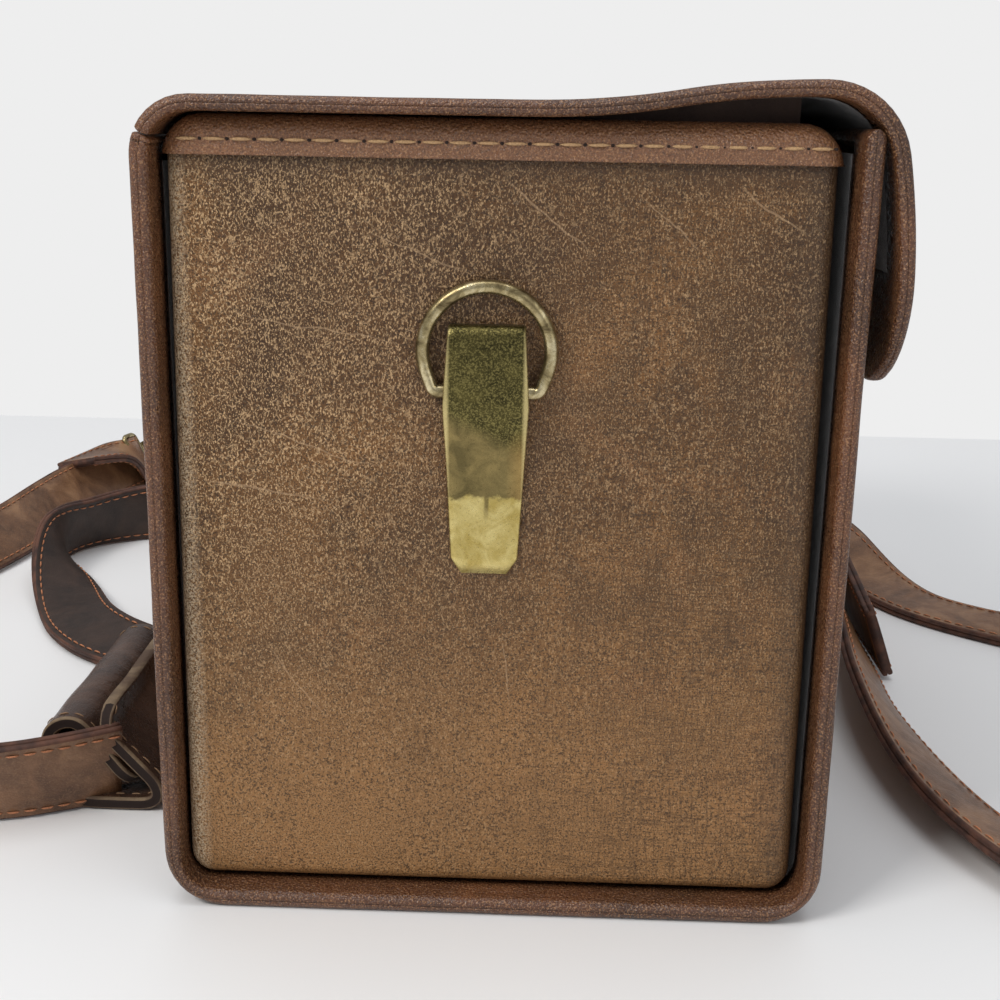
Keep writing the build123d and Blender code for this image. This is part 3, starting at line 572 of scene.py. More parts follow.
def lug_rubbed(shader, height):
    """1 on the rubbed foot, less in the drip that runs down into it."""
    foot = lug_low[2]
    wobble = shader.noise(330, 4, 0.6)
    drip = shader.mark((lug_x + 0.0005, foot + 0.024), (lug_x + 0.0003, foot + 0.012), 0.0007, 0.0)
    line = shader.math("ADD", height, shader.math("MULTIPLY", wobble, 0.005))
    rubbed = shader.between(line, foot + 0.0205, foot + 0.0196)
    undripped = shader.math("SUBTRACT", 1.0, shader.math("MULTIPLY", drip, 0.8))
    return shader.math("MULTIPLY", rubbed, undripped)


def lug_brass():
    """The lug's brass: tarnished above with a painted dark reflection there, rubbed yellow at the foot,
    pale along its edges.
    """
    shader = Shader("lug_brass")
    height = shader.axis("Z")
    across = shader.math("SUBTRACT", shader.axis("X"), lug_x)
    cloud = shader.noise(190, 5, 0.6, 0.8)
    pits = shader.noise(1900, 5, 0.7)
    unrubbed_tone = lug_tarnish_and_dark_reflection(shader, height, across, cloud)
    clean = shader.ramp(cloud, (0.35, rgb(184, 162, 92)), (0.65, rgb(220, 202, 136)))
    tone = shader.mix(lug_rubbed(shader, height), unrubbed_tone, clean)
    tone = shader.mix(shader.ramp(pits, (0.6, 0.0), (0.7, 0.75)), tone, rgb(70, 56, 32))
    edge = shader.between(shader.math("ABSOLUTE", across), 0.0079, 0.0086)
    tone = shader.mix(shader.math("MULTIPLY", edge, 0.6), tone, rgb(232, 212, 150))
    shader.set("Base Color", tone)
    shader.set("Metallic", 0.9)
    shader.set("Roughness", shader.ramp(pits, (0.35, 0.22), (0.65, 0.4)))
    shader.set("Normal", shader.bump(pits, 0.00012, 0.8))
    return shader.material


def lining_cloth():
    """Short dark brown pile inside the case."""
    shader = Shader("lining_cloth")
    pile = shader.noise(2200, 3, 0.7)
    cloud = shader.noise(50, 4, 0.6)
    tone = shader.ramp(cloud, (0.35, rgb(58, 42, 36)), (0.65, rgb(78, 58, 48)))
    shader.set("Base Color", shader.mix(shader.math("MULTIPLY", pile, 0.5), tone, rgb(34, 24, 20)))
    shader.set("Roughness", 0.95)
    shader.set("Sheen Weight", 0.5)
    shader.set("Normal", shader.bump(pile, 0.0005, 0.6))
    return shader.material


def grey_board():
    """Pressed board that stiffens the leather."""
    shader = Shader("grey_board")
    fibre = shader.noise(900, 5, 0.7)
    shader.set("Base Color", shader.ramp(fibre, (0.3, rgb(120, 100, 76)), (0.7, rgb(168, 146, 114))))
    shader.set("Roughness", 0.9)
    shader.set("Normal", shader.bump(fibre, 0.0002, 0.6))
    return shader.material


def plain_table():
    """White table top, paler further back as painted light against the lamps' falloff."""
    shader = Shader("plain_table")
    cloud = shader.noise(2.2, 3, 0.5)
    tone = shader.ramp(cloud, (0.35, 0.82), (0.65, 0.86))
    # Painted light: the table is lightened towards the back, where the lamps light it less.
    painted_light_towards_back = shader.between(shader.axis("Y"), -0.1, table_far_edge)
    shader.set("Base Color", shader.mix(painted_light_towards_back, tone, (0.97, 0.97, 0.97, 1)))
    shader.set("Roughness", 0.4)
    return shader.material


# Straps

def spline_points(points, resolution):
    """Points along a smooth spline with the given control points."""
    curve = bpy.data.curves.new("route", "CURVE")
    curve.dimensions = "3D"
    curve.resolution_u = resolution
    spline = curve.splines.new("NURBS")
    spline.points.add(len(points) - 1)
    for point, place in zip(spline.points, points):
        point.co = (*place, 1)
    spline.use_endpoint_u = True
    spline.order_u = 3
    holder = bpy.data.objects.new("route", curve)
    bpy.context.scene.collection.objects.link(holder)
    bpy.context.view_layer.update()
    mesh = bpy.data.meshes.new_from_object(holder)
    places = [vertex.co.copy() for vertex in mesh.vertices]
    bpy.data.objects.remove(holder)
    bpy.data.curves.remove(curve)
    bpy.data.meshes.remove(mesh)
    return places


# Strap routes: x, y and the lean to the left in degrees
route_a = [
    (-0.1040, -0.0745, 14), (-0.1140, -0.0810, 16), (-0.133, -0.0900, 18), (-0.158, -0.092, 22),
    (-0.190, -0.082, 22), (-0.216, -0.055, 16), (-0.231, -0.015, 12), (-0.236, 0.030, 14),
    (-0.232, 0.075, 28), (-0.222, 0.114, 44), (-0.216, 0.150, 49), (-0.2135, 0.181, 42),
    (-0.2102, 0.2084, 36),
]
route_b = [
    (-0.094, -0.0200, 0), (-0.094, -0.0059, 4), (-0.095, 0.008, 30), (-0.104, 0.021, 74),
    (-0.124, 0.026, 100), (-0.142, 0.036, 103), (-0.157, 0.053, 102), (-0.167, 0.073, 97),
    (-0.177, 0.094, 70), (-0.1865, 0.115, 34), (-0.1915, 0.132, -6), (-0.188, 0.147, -22),
    (-0.177, 0.162, -16), (-0.150, 0.179, 8), (-0.122, 0.190, -2), (-0.096, 0.197, -4),
    (-0.046, 0.205, 0), (0.012, 0.207, 0), (0.066, 0.203, 0), (0.111, 0.191, 0),
    (0.136, 0.166, 44), (0.146, 0.136, 80), (0.154, 0.111, 88), (0.165, 0.094, 88),
    (0.187, 0.075, 86), (0.216, 0.056, 76), (0.237, 0.024, 62), (0.243, -0.020, 50),
    (0.236, -0.064, 50), (0.218, -0.101, 60), (0.191, -0.122, 74), (0.163, -0.127, 82),
    (0.143, -0.110, 76), (0.1280, -0.0820, 70), (0.1205, -0.050, 60), (0.1170, -0.005, 41),
    (0.1195, 0.026, 34), (0.1212, 0.060, 26), (0.1212, 0.086, 12),
]
# Each hook's bar: x, y, heading right of +Y, lean and the side its tab lies on
bar_a = (-0.1945, 0.2565, 15, 30, 1)
bar_b = (0.1245, 0.120, 0, 0, 1)
# Each folded end's loose tab: x, y, z and its lean
tab_a = [
    (-0.1935, 0.2560, 0.0150, 40), (-0.1975, 0.2470, 0.0190, 66), (-0.2010, 0.2380, 0.0215, 88),
    (-0.2055, 0.2265, 0.0225, 98), (-0.2108, 0.2150, 0.0225, 104),
]
tab_b = [
    (0.1280, 0.112, 0.0152, 0), (0.1283, 0.090, 0.0145, 8), (0.1278, 0.060, 0.0140, 14),
    (0.1272, 0.030, 0.0138, 20),
]
stitch_inset = 0.0025
stitch_pitch = 0.0044
# Each kind of stitch or hole: its length and its radius
strap_stitch = (0.0034, 0.00034)
pad_stitch = (0.003, 0.00026)
binding_stitch = (0.0048, 0.00038)
needle_hole = (0.0010, 0.00034)
floor_gap = 0.0003
# The strap's section: its rounded edge, the groove between its layers, its seam and its swell
edge_reach = 0.0007
edge_cut = 0.0002
edge_drop = 0.0006
groove_half = 0.0004
groove_slope_reach = 0.0003
groove_slope_height = 0.00012
seam_half = 0.0009
seam_depth = 0.0002
swell_side = 0.00005
swell_middle = 0.00008
# The strap's fold round its hook's bar: how far back its straight stretch reaches and ends
fold_back = 0.020
fold_end = 0.008
# The shaded inner face of strap b reaches this far from the pad
shade_end = 0.24


def hook_axis_height(lean):
    """Height of a hook's axis above the table, its lowest corner on the table."""
    turn = math.radians(lean)
    fold_low = strap_width / 2 * math.cos(turn) + (bar_fold + strap_thickness / 2) * math.sin(turn)
    eye_low = (strap_width / 2 + eye_overhang) * math.cos(turn) + eye_wire / 2
    return max(fold_low, eye_low)


def strap_lines(route, bar, tab):
    """Control points of the strap's middle line and of a line above it."""
    middle = []
    above = []
    runs = directions([Vector((x, y, 0)) for x, y, lean in route])
    for (x, y, lean), run in zip(route, runs):
        left = Vector((-run.y, run.x, 0))
        turn = math.radians(lean)
        up = Vector((0, 0, math.cos(turn))) + left * math.sin(turn)
        height = strap_width / 2 * abs(math.cos(turn)) + strap_thickness / 2 * abs(math.sin(turn))
        place = Vector((x, y, height))
        middle.append(place)
        above.append(place + up * strap_width / 2)
    x, y, heading, lean, side = bar
    place = (
        Matrix.Translation((x, y, hook_axis_height(lean)))
        @ Matrix.Rotation(math.radians(-heading), 4, "Z")
        @ Matrix.Rotation(math.radians(-lean), 4, "Y")
    )
    fold = [
        (-side * bar_fold, -fold_back),
        (-side * bar_fold, -fold_end),
        (-side * bar_fold, bar_fold),
        (side * bar_fold, bar_fold),
    ]
    for across, along in fold:
        middle.append(place @ Vector((across, along, 0)))
        above.append(place @ Vector((across, along, strap_width / 2)))
    left = Matrix.Rotation(math.radians(-heading), 3, "Z") @ Vector((-1, 0, 0))
    for x, y, z, lean in tab:
        turn = math.radians(lean)
        up = Vector((0, 0, math.cos(turn))) + left * math.sin(turn)
        middle.append(Vector((x, y, z)))
        above.append(Vector((x, y, z)) + up * strap_width / 2)
    return middle, above


def strap_section():
    """The strap's outline across, two layers with a groove between their edges."""
    half = strap_width / 2
    thick = strap_thickness / 2
    upper_edge = [
        (half - edge_reach, thick), (half - edge_cut, thick - edge_cut), (half, thick - edge_drop),
        (half, groove_half), (half - groove_slope_reach, groove_slope_height),
    ]
    lower_edge = [(across, -deep) for across, deep in reversed(upper_edge)]
    edge = [*upper_edge, (half - edge_reach, 0), *lower_edge]
    seam = half - stitch_inset
    right_face = [
        (seam + seam_half, -thick), (seam, -thick + seam_depth), (seam - seam_half, -thick),
        (seam * 0.5, -thick - swell_side),
    ]
    left_face = [(-across, deep) for across, deep in reversed(right_face)]
    half_ring = [*edge, *right_face, (0, -thick - swell_middle), *left_face]
    other_half = [(-across, -deep) for across, deep in half_ring]
    return half_ring + other_half, len(edge)


def strap_frames(route, bar, tab, resolution):
    """Points along the strap with its upward and sideways directions, kept off the floor."""
    middle, above = strap_lines(route, bar, tab)
    places = spline_points(middle, resolution)
    tops = spline_points(above, resolution)
    frames = []
    for place, top, run in zip(places, tops, directions(places)):
        up = top - place
        up = (up - run * up.dot(run)).normalized()
        side = run.cross(up)
        low = place.z - abs(up.z) * strap_width / 2 - abs(side.z) * strap_thickness / 2
        lift = Vector((0, 0, max(0, floor_gap - low)))
        frames.append((place + lift, run, up, side))
    return frames


def make_strap(name, route, bar, tab, node, materials, dark_length=0):
    """One half of the shoulder strap with its folded end; one face is dark for dark_length."""
    frames = strap_frames(route, bar, tab, spline_steps)
    ring, edge_count = strap_section()
    count = len(ring)
    verts = []
    for place, run, up, side in frames:
        for across, deep in ring:
            verts.append(place + up * across + side * deep)
    piece = new_piece(name, verts, tube_faces(len(frames), count), "case", materials["strap"])
    piece.data.materials.append(materials["strap_edge"])
    piece.data.materials.append(materials["strap_shade"])
    path = [place for place, run, up, side in frames]
    gone = distances(path)
    half_count = count // 2
    for i, face in enumerate(piece.data.polygons[:-2]):
        across = i % count
        if across % half_count < edge_count - 1:
            face.material_index = 1
        elif across > half_count and gone[i // count] < dark_length:
            face.material_index = 2
    piece.data.polygons[-1].material_index = 1
    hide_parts(node, f"strap_end_{name[-1]}")
    strap_stitches(f"{name}_stitches", frames, materials["strap_thread"])


def strap_stitches(name, frames, material):
    """Rows of stitches near both edges, on both faces."""
    offset = strap_width / 2 - stitch_inset
    lift = strap_thickness / 2 - 0.00005
    spots = []
    for across in (offset, -offset):
        for deep in (1, -1):
            line = [
                (place + up * across + side * deep * lift, run, side * deep)
                for place, run, up, side in frames
            ]
            spots += along_line(line, stitch_pitch)
    stitch_mesh(name, spots, strap_stitch, "case", material)


def along_line(line, pitch):
    """Evenly spaced places on a line of (point, run, outward) entries."""
    spots = []
    travelled = 0.0
    due = pitch / 2
    for (p0, r0, o0), (p1, r1, o1) in zip(line, line[1:]):
        step = (p1 - p0).length
        while step > 0 and travelled + step >= due:
            share = (due - travelled) / step
            spots.append((p0.lerp(p1, share), (p1 - p0).normalized(), o0.lerp(o1, share).normalized()))
            due += pitch
        travelled += step
    return spots


def stitch_mesh(name, spots, stitch, body, material):
    """Short arched stitches at each spot."""
    length, radius = stitch
    rings = 6
    sides = 6
    verts = []
    faces = []
    for number, (place, run, out) in enumerate(spots):
        across = run.cross(out).normalized()
        sway = 0.05 * noise.noise(Vector((number * 0.71, 3.1, 0.2)))
        run = (run + across * sway).normalized()
        start = len(verts)
        for i in range(rings):
            share = i / (rings - 1) * 2 - 1
            thick = radius * math.sqrt(max(0.04, 1 - share * share))
            rise = radius * (0.75 - 1.1 * share ** 4)
            centre = place + run * share * length / 2 + out * rise
            for j in range(sides):
                angle = 2 * math.pi * j / sides
                sideways = across * thick * math.cos(angle)
                verts.append(centre + sideways + out * thick * 0.8 * math.sin(angle))
        for i in range(rings - 1):
            for j in range(sides):
                k = (j + 1) % sides
                faces.append((
                    start + i * sides + j,
                    start + i * sides + k,
                    start + (i + 1) * sides + k,
                    start + (i + 1) * sides + j,
                ))
        faces.append(tuple(start + j for j in range(sides))[::-1])
        faces.append(tuple(start + (rings - 1) * sides + j for j in range(sides)))
    return new_piece(name, verts, faces, body, material)


# Shoulder pad's section: x from its middle, z
pad_middle = -0.105
pad_thickness = 0.0034
pad_line = [
    (0.0055, 0.0068), (0.0005, 0.0135), (-0.0060, 0.0222), (-0.0095, 0.0258), (-0.0145, 0.0252),
    (-0.0176, 0.0215), (-0.0178, 0.014), (-0.0165, 0.0065), (-0.0110, 0.0022), (0.002, 0.0018),
    (0.0118, 0.0022), (0.0125, 0.0075), (0.0070, 0.0135), (0.0012, 0.0195), (-0.0016, 0.0230),
    (-0.0016, 0.0285),
]
pad_corner = 0.007
pad_rows = 26
pad_bevel = ((0.0, 0.0006), (0.00025, 0.00015), (0.0009, 0.0))
pad_groove = 0.0006
pad_stitch_inset = 0.003


def make_pad(materials):
    """Curled shoulder pad of two leather layers with worn edges."""
    line = spline_points([Vector((pad_middle + x, 0, z)) for x, z in pad_line], spline_steps)
    near = pad_low[1]
    far = pad_high[1]
    half = pad_thickness / 2
    profile = [(y, half - drop) for y, drop in pad_bevel]
    outs = [Vector((-run.z, 0, run.x)) for run in directions(line)]
    gone = distances(line)
    verts = []
    ring_size = 0
    trims = []
    for i, place in enumerate(line):
        left = min(gone[-1] - gone[i], gone[i])
        trim = 0.0
        if left < pad_corner:
            trim = pad_corner - math.sqrt(pad_corner ** 2 - (pad_corner - left) ** 2)
        trims.append(trim)
        ring = pad_ring(near + trim, far - trim, profile)
        ring_size = len(ring)
        for y, t in ring:
            wave = 0.0004 * noise.noise(Vector((y * 60, i * 0.05, 4.0)))
            verts.append(Vector((place.x, y, place.z)) + outs[i] * (t + wave))
    pad = new_piece("pad", verts, tube_faces(len(line), ring_size), "case", materials["pad"])
    pad.data.materials.append(materials["pad_edge"])
    pad.data.materials.append(materials["hole"])
    colour_pad_edges(pad, (len(line) - 1) * ring_size, ring_size // 2)
    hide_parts("shoulder_pad")
    stitch_pad(line, outs, trims, materials["pad_thread"])
    return pad


def colour_pad_edges(pad, side_count, ring_half):
    """Worn leather on the pad's rounded edges and ends, and painted shade in the groove between its layers.
    """
    corner = len(pad_bevel) - 1
    face_end = ring_half - 2
    for number, face in enumerate(pad.data.polygons):
        place = number % ring_half
        if number >= side_count or place < corner or place >= face_end - corner:
            face.material_index = 1
        # Painted shade: the groove between the layers gets the dark hole material.
        if number < side_count and place >= face_end:
            face.material_index = 2


def stitch_pad(line, outs, trims, material):
    """A row of stitches along both ends of the pad, on both faces."""
    half = pad_thickness / 2
    spots = []
    for end, inward in ((pad_low[1], 1), (pad_high[1], -1)):
        for sign in (1, -1):
            row = []
            for place, out, trim in zip(line, outs, trims):
                spot = Vector((place.x, end + inward * (trim + pad_stitch_inset), place.z))
                row.append((spot + out * half * sign, Vector((0, 0, 1)), out * sign))
            spots += along_line(row, stitch_pitch)
    stitch_mesh("pad_stitches", spots, pad_stitch, "case", material)


def pad_ring(near, far, profile):
    """The pad's outline from its near edge to its far edge and back: (y, height)."""
    ring = []
    for top in (1, -1):
        ends = [(near + y, top * t) for y, t in profile]
        middle = [(near + (far - near) * k / pad_rows, top * profile[-1][1]) for k in range(1, pad_rows)]
        back = [(far - y, top * t) for y, t in reversed(profile)]
        side = ends + middle + back
        if top < 0:
            side = side[::-1]
        ring += side
        groove = far - pad_groove if top > 0 else near + pad_groove
        ring.append((groove, 0.0))
    return ring


# Case leather

def arc_points(centre, radius, start, end, step):
    """Stations on an arc: (x, z, outward x, outward z)."""
    length = math.radians(abs(end - start)) * radius
    count = max(4, math.ceil(length / step))
    stations = []
    for i in range(count + 1):
        angle = math.radians(start + (end - start) * i / count)
        out = (math.cos(angle), math.sin(angle))
        stations.append((centre[0] + radius * out[0], centre[1] + radius * out[1], *out))
    return stations


def line_points(start, end, out, step):
    """Stations on a straight run, without its ends."""
    length = math.dist(start, end)
    count = max(2, math.ceil(length / step))
    return [
        (
            start[0] + (end[0] - start[0]) * i / count,
            start[1] + (end[1] - start[1]) * i / count,
            *out,
        )
        for i in range(1, count)
    ]


def body_stations(step):
    """Stations round the body's outer face, from the front wall's top to the seam."""
    side = half_width
    corner = side - corner_radius
    low = corner_radius
    gap = math.degrees(seam_gap / rear_radius)
    stations = [(side, front_top, 1, 0)]
    stations += line_points((side, front_top), (side, low), (1, 0), step)
    stations += arc_points((corner, low), corner_radius, 0, -90, step)
    stations += line_points((corner, 0), (-corner, 0), (0, -1), step)
    stations += arc_points((-corner, low), corner_radius, -90, -180, step)
    stations += line_points((-side, low), (-side, rear_z), (-1, 0), step)
    stations += arc_points((rear_x, rear_z), rear_radius, 180, seam_angle + gap, step)
    return stations


def lid_stations(step):
    """Stations over the lid's outer face, from the seam to the flap's edge."""
    gap = math.degrees(seam_gap / rear_radius)
    run = (front_top_x - rise_start) / 2
    rise = lid_peak - lid_top
    turn = 2 * math.atan(rise / 2 / run)
    radius = run / math.sin(turn)
    degrees = math.degrees(turn)
    stations = arc_points((rear_x, rear_z), rear_radius, seam_angle - gap, 90, step)
    stations += line_points((rear_x, lid_top), (rise_start, lid_top), (0, 1), step)
    dip = arc_points((rise_start, lid_top + radius), radius, 270, 270 + degrees, step)
    stations += [(x, z, -ox, -oz) for x, z, ox, oz in dip]
    top_centre = (front_top_x, lid_peak - radius)
    stations += arc_points(top_centre, radius, 90 + degrees, 90, step)[1:]
    corner = (front_top_x, front_top_z)
    stations += arc_points(corner, front_top_radius, 90, front_turn_end, step)[1:]
    angle = math.radians(front_turn_end)
    reach = flap_radius - front_top_radius
    centre = (front_top_x - reach * math.cos(angle), front_top_z - reach * math.sin(angle))
    stations += arc_points(centre, flap_radius, front_turn_end, flap_end_angle, step)[1:]
    return stations


def shell_ring(thickness, inner_depth, end):
    """A shell's outline across its length: a closed ring of (y, depth)."""
    radius = thickness * edge_radius_share
    quarter = [math.radians(90 * i / 6) for i in range(7)]
    top = [(-end + radius * (1 - math.sin(a)), radius * (1 - math.cos(a))) for a in quarter]
    bottom = [(y, thickness - depth) for y, depth in reversed(top)]
    near = top + [(-end + layer_groove, thickness / 2)] + bottom
    step_y = -end + rim_depth
    near += [(-end + rim_depth * 0.6, thickness), (step_y, thickness), (step_y, inner_depth)]
    span = 2 * step_y
    inside = [(step_y - span * i / inside_steps, inner_depth) for i in range(1, inside_steps)]
    far = [(-y, depth) for y, depth in reversed(near)]
    start = -end + radius
    outside = [(-start + 2 * start * i / outside_steps, 0.0) for i in range(1, outside_steps)]
    return near + inside + far + outside


def shell(name, stations, ring, half_at, depth_scale, body, material):
    """A leather shell carried along its stations."""
    verts = []
    columns = len(ring)
    for i, (x, z, out_x, out_z) in enumerate(stations):
        share = half_at(i) / half_length
        for y, depth in ring:
            lump = noise.noise(Vector((x * 28, y * 22, z * 28)))
            lump += 0.4 * noise.noise(Vector((x * 90, y * 60, z * 90 + 7)))
            ripple = 0.00022 * lump if depth < 0.001 else 0.0
            deep = depth_scale(i, depth) + ripple
            verts.append((x - out_x * deep, y * share, z - out_z * deep))
    return new_piece(name, verts, tube_faces(len(stations), columns), body, material)


def travelled(stations):
    """Distance along the stations."""
    lengths = [0.0]
    for a, b in zip(stations, stations[1:]):
        lengths.append(lengths[-1] + math.dist(a[:2], b[:2]))
    return lengths


def close_up(lengths, thickness, i, depth, start_round, end_round):
    """Round a shell's ends by drawing its two faces together."""
    middle = thickness / 2
    share = 1.0
    for left, reach in ((lengths[i], start_round), (lengths[-1] - lengths[i], end_round)):
        if left < reach:
            u = 1 - left / reach
            share = min(share, math.sqrt(max(0.02, 1 - u * u)))
    return middle + (depth - middle) * share


# Shares of the rounding at which a shell's ends get more stations
end_shares = [share / 6 for share in (0.3, 0.8, 1.6, 2.8, 4.2, 6)]


def extra_ends(stations, reach):
    """Add close stations near a shell's ends so that the rounding is smooth."""
    first, second = stations[0], stations[1]
    last, before = stations[-1], stations[-2]
    opening = [blend_station(first, second, reach, share) for share in end_shares]
    closing = [blend_station(last, before, reach, share) for share in reversed(end_shares)]
    return [first, *opening, *stations[1:-1], *closing, last]


def blend_station(a, b, reach, share):
    """A station a share of the reach from a towards b."""
    t = reach * share / math.dist(a[:2], b[:2])
    return tuple(a[k] + (b[k] - a[k]) * t for k in range(4))


def make_wrap(materials):
    """The body's outer leather."""
    stations = extra_ends(body_stations(station_step), lip_round)
    lengths = travelled(stations)
    ring = shell_ring(wall, skin, half_length)

    def depth_scale(i, depth):
        x, z, out_x, out_z = stations[i]
        squeeze = 1.0
        if z < corner_radius:
            squeeze = 1 - 0.22 * (2 * out_x * out_z) ** 2
        if min(lengths[i], lengths[-1] - lengths[i]) < lip_solid:
            depth = wall if depth == skin else depth
        return close_up(lengths, wall, i, depth, lip_round, seam_round) * squeeze

    def half_at(i):
        return half_length

    wrap = shell("wrap", stations, ring, half_at, depth_scale, "case", materials["rim"])
    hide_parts("wrap_leather")


def make_lid(materials):
    """The lid's outer leather with its flap."""
    stations = extra_ends(lid_stations(station_step), flap_round)
    lengths = travelled(stations)
    ring = shell_ring(lid_thickness, lid_skin, half_length)
    pocket_low = flap_low + flap_corner_radius

    def half_at(i):
        x, z = stations[i][:2]
        rise = z - flap_low
        if x > front_top_x and rise < flap_corner_radius:
            drop = flap_corner_radius - rise
            return half_length - flap_corner_radius + math.sqrt(max(0, flap_corner_radius ** 2 - drop ** 2))
        return half_length

    def depth_scale(i, depth):
        x, z = stations[i][:2]
        solid = (x > front_top_x and z < pocket_low) or x < rear_x
        if solid and depth == lid_skin:
            depth = lid_thickness
        return close_up(lengths, lid_thickness, i, depth, lid_seam_round, flap_round)

    lid = shell("lid", stations, ring, half_at, depth_scale, "lid", materials["rim"])
    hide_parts("lid_leather")


# End panels

edge_steps = [0, 0.00015, 0.0004, 0.0008, 0.0013, 0.0019, 0.0026, 0.0034, 0.0045, 0.006, 0.008]


def outline_half(z, grow, low, high):
    """Half width of the end's outline at a height."""
    share = (z - panel_low[2]) / (panel_high[2] - panel_low[2])
    half = panel_bottom_half + (panel_top_half - panel_bottom_half) * share + grow
    top_radius = panel_top_radius + grow
    bottom_radius = panel_bottom_radius + grow
    if z > high - top_radius:
        rise = min(z - (high - top_radius), top_radius)
        return half - top_radius + math.sqrt(top_radius ** 2 - rise ** 2)
    if z < low + bottom_radius:
        drop = min(low + bottom_radius - z, bottom_radius)
        return half - bottom_radius + math.sqrt(bottom_radius ** 2 - drop ** 2)
    return half


def edge_distance(x, z, grow, low, high):
    """Distance inward from the end's outline."""
    share = (z - panel_low[2]) / (panel_high[2] - panel_low[2])
    half = panel_bottom_half + (panel_top_half - panel_bottom_half) * share + grow
    reach = abs(x)
    for radius, level, sign in (
        (panel_top_radius + grow, high, 1),
        (panel_bottom_radius + grow, low, -1),
    ):
        corner_z = level - sign * radius
        if sign * (z - corner_z) > 0 and reach > half - radius:
            return radius - math.hypot(reach - (half - radius), z - corner_z)
    return min(half - reach, high - z, z - low)


def steps_between(low, high, step, ease_low):
    """Values from low to high, close together at the high end, and at the low end where eased."""
    values = [low]
    if ease_low:
        values = [low + e for e in edge_steps]
    start = values[-1]
    stop = high - edge_steps[-1]
    count = max(2, math.ceil((stop - start) / step))
    values += [start + (stop - start) * i / count for i in range(1, count)]
    return values + [high - e for e in reversed(edge_steps)]


def end_sheet(name, side, grow, face, round_over, low, high, cut, back, material, node):
    """A leather sheet on one end, its edges rounded over towards the back."""
    rows = steps_between(cut, high, panel_step, cut <= low)
    verts = []
    middle_steps = 46
    columns = 0
    for z in rows:
        half = outline_half(z, grow, low, high)
        inner = max(half - edge_steps[-1], 0.001)
        line = [-half + e * min(1, half / 0.02) for e in edge_steps[:-1]]
        line += [-inner + 2 * inner * i / middle_steps for i in range(middle_steps + 1)]
        line += [half - e * min(1, half / 0.02) for e in reversed(edge_steps[:-1])]
        columns = len(line)
        for x in line:
            depth = max(edge_distance(x, z, grow, low, high), 0)
            fall = 0.0
            if depth < round_over:
                fall = round_over - math.sqrt(round_over ** 2 - (round_over - depth) ** 2)
            swell = 0.0
            if depth > 0.004:
                swell = 0.00035 * noise.noise(Vector((x * 30, z * 30, 2.0 + side)))
            verts.append(Vector((x + panel_shift, side * (face - fall + swell), z)))
    count = len(rows)
    faces = grid_faces(count, columns)
    border = border_of(count, columns)
    start = len(verts)
    for index in border:
        point = verts[index]
        level = face - binding_thickness if cut > low and point.z <= cut + 1e-6 else back
        verts.append(Vector((point.x, side * level, point.z)))
    size = len(border)
    for i in range(size):
        k = (i + 1) % size
        faces.append((border[i], start + i, start + k, border[k]))
    if side > 0:
        faces = [face_[::-1] for face_ in faces]
    sheet = new_piece(name, verts, faces, "case", material)
    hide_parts(node)
    return sheet


def make_end(side, word, materials):
    """One end: its panel, its binding and the binding's stitches."""
    low = wall + panel_bottom_gap
    high = panel_high[2]
    end_sheet(
        f"{word}_panel", side, 0.0, panel_face, panel_edge_round, low, high, low, panel_back,
        materials["panel"], f"{word}_end_panel",
    )
    top = high + binding_thickness
    cut = top - binding_drop
    end_sheet(
        f"{word}_binding", side, binding_thickness, panel_face + binding_thickness,
        panel_edge_round + binding_thickness, low - binding_thickness, top, cut, panel_back,
        materials["binding"], f"{word}_end_binding",
    )
    z = top - stitch_drop
    out = Vector((0, side, 0))
    y = side * (panel_face + binding_thickness)
    ends = outline_half(z, 0.0, low, high) - binding_end_gap
    start = Vector((panel_shift - ends, y, z))
    stop = Vector((panel_shift + ends, y, z + 0.0002))
    run = (stop - start).normalized()
    spots = along_line([(start, run, out), (stop, run, out)], binding_pitch)
    stitch_mesh(f"{word}_stitches", spots, binding_stitch, "case", materials["thread"])
    # Each needle hole is a dark lump set just under the binding's face: painted shade.
    holes = [(place + run * binding_pitch / 2 - out * hole_depth, run, out) for place, run, out in spots]
    stitch_mesh(f"{word}_holes", holes, needle_hole, "case", materials["hole"])


def painted_hole_shade():
    """Dark needle holes, and the pad's layer groove: their darkness is painted shade."""
    shader = Shader("painted_hole_shade")
    speck = shader.noise(1500, 2)
    shader.set("Base Color", shader.mix(speck, rgb(24, 14, 10), rgb(44, 26, 18)))
    shader.set("Roughness", 0.9)
    return shader.material


# Lug

# The lug's fold: height above the panel's face, z
lug_path = [
    (-0.0010, 0.14135), (0.0022, 0.14160), (0.0036, 0.14130), (0.0044, 0.13960),
    (0.0045, 0.1345), (0.0045, 0.1290), (0.0044, 0.1240), (0.0036, 0.1200),
    (0.0022, 0.1145), (0.0011, 0.1105), (0.00068, 0.1060), (0.00064, 0.0970),
    (0.00064, lug_low[2]),
]
# The lug's half width at its top, its widest place and its foot: z, half width
lug_widths = [(0.1436, 0.0083), (0.1242, 0.0095), (lug_low[2], 0.0074)]
lug_bevel = 0.0003


def lug_ring(half):
    """The lug's section for a half width: (across, out), its long sides cut into steps."""
    columns = 12
    thick = lug_thickness / 2
    quarter = [(-half + lug_bevel, thick), (half - lug_bevel, thick), (half, thick - lug_bevel)]
    opposite = [(-across, -out) for across, out in quarter]
    corners = [*quarter, (half, -thick + lug_bevel), *opposite, (-half, thick - lug_bevel)]
    ring = []
    for (x0, t0), (x1, t1) in zip(corners, corners[1:] + corners[:1]):
        steps = columns if abs(x1 - x0) > 0.003 else 1
        ring += [(x0 + (x1 - x0) * k / steps, t0 + (t1 - t0) * k / steps) for k in range(steps)]
    return ring


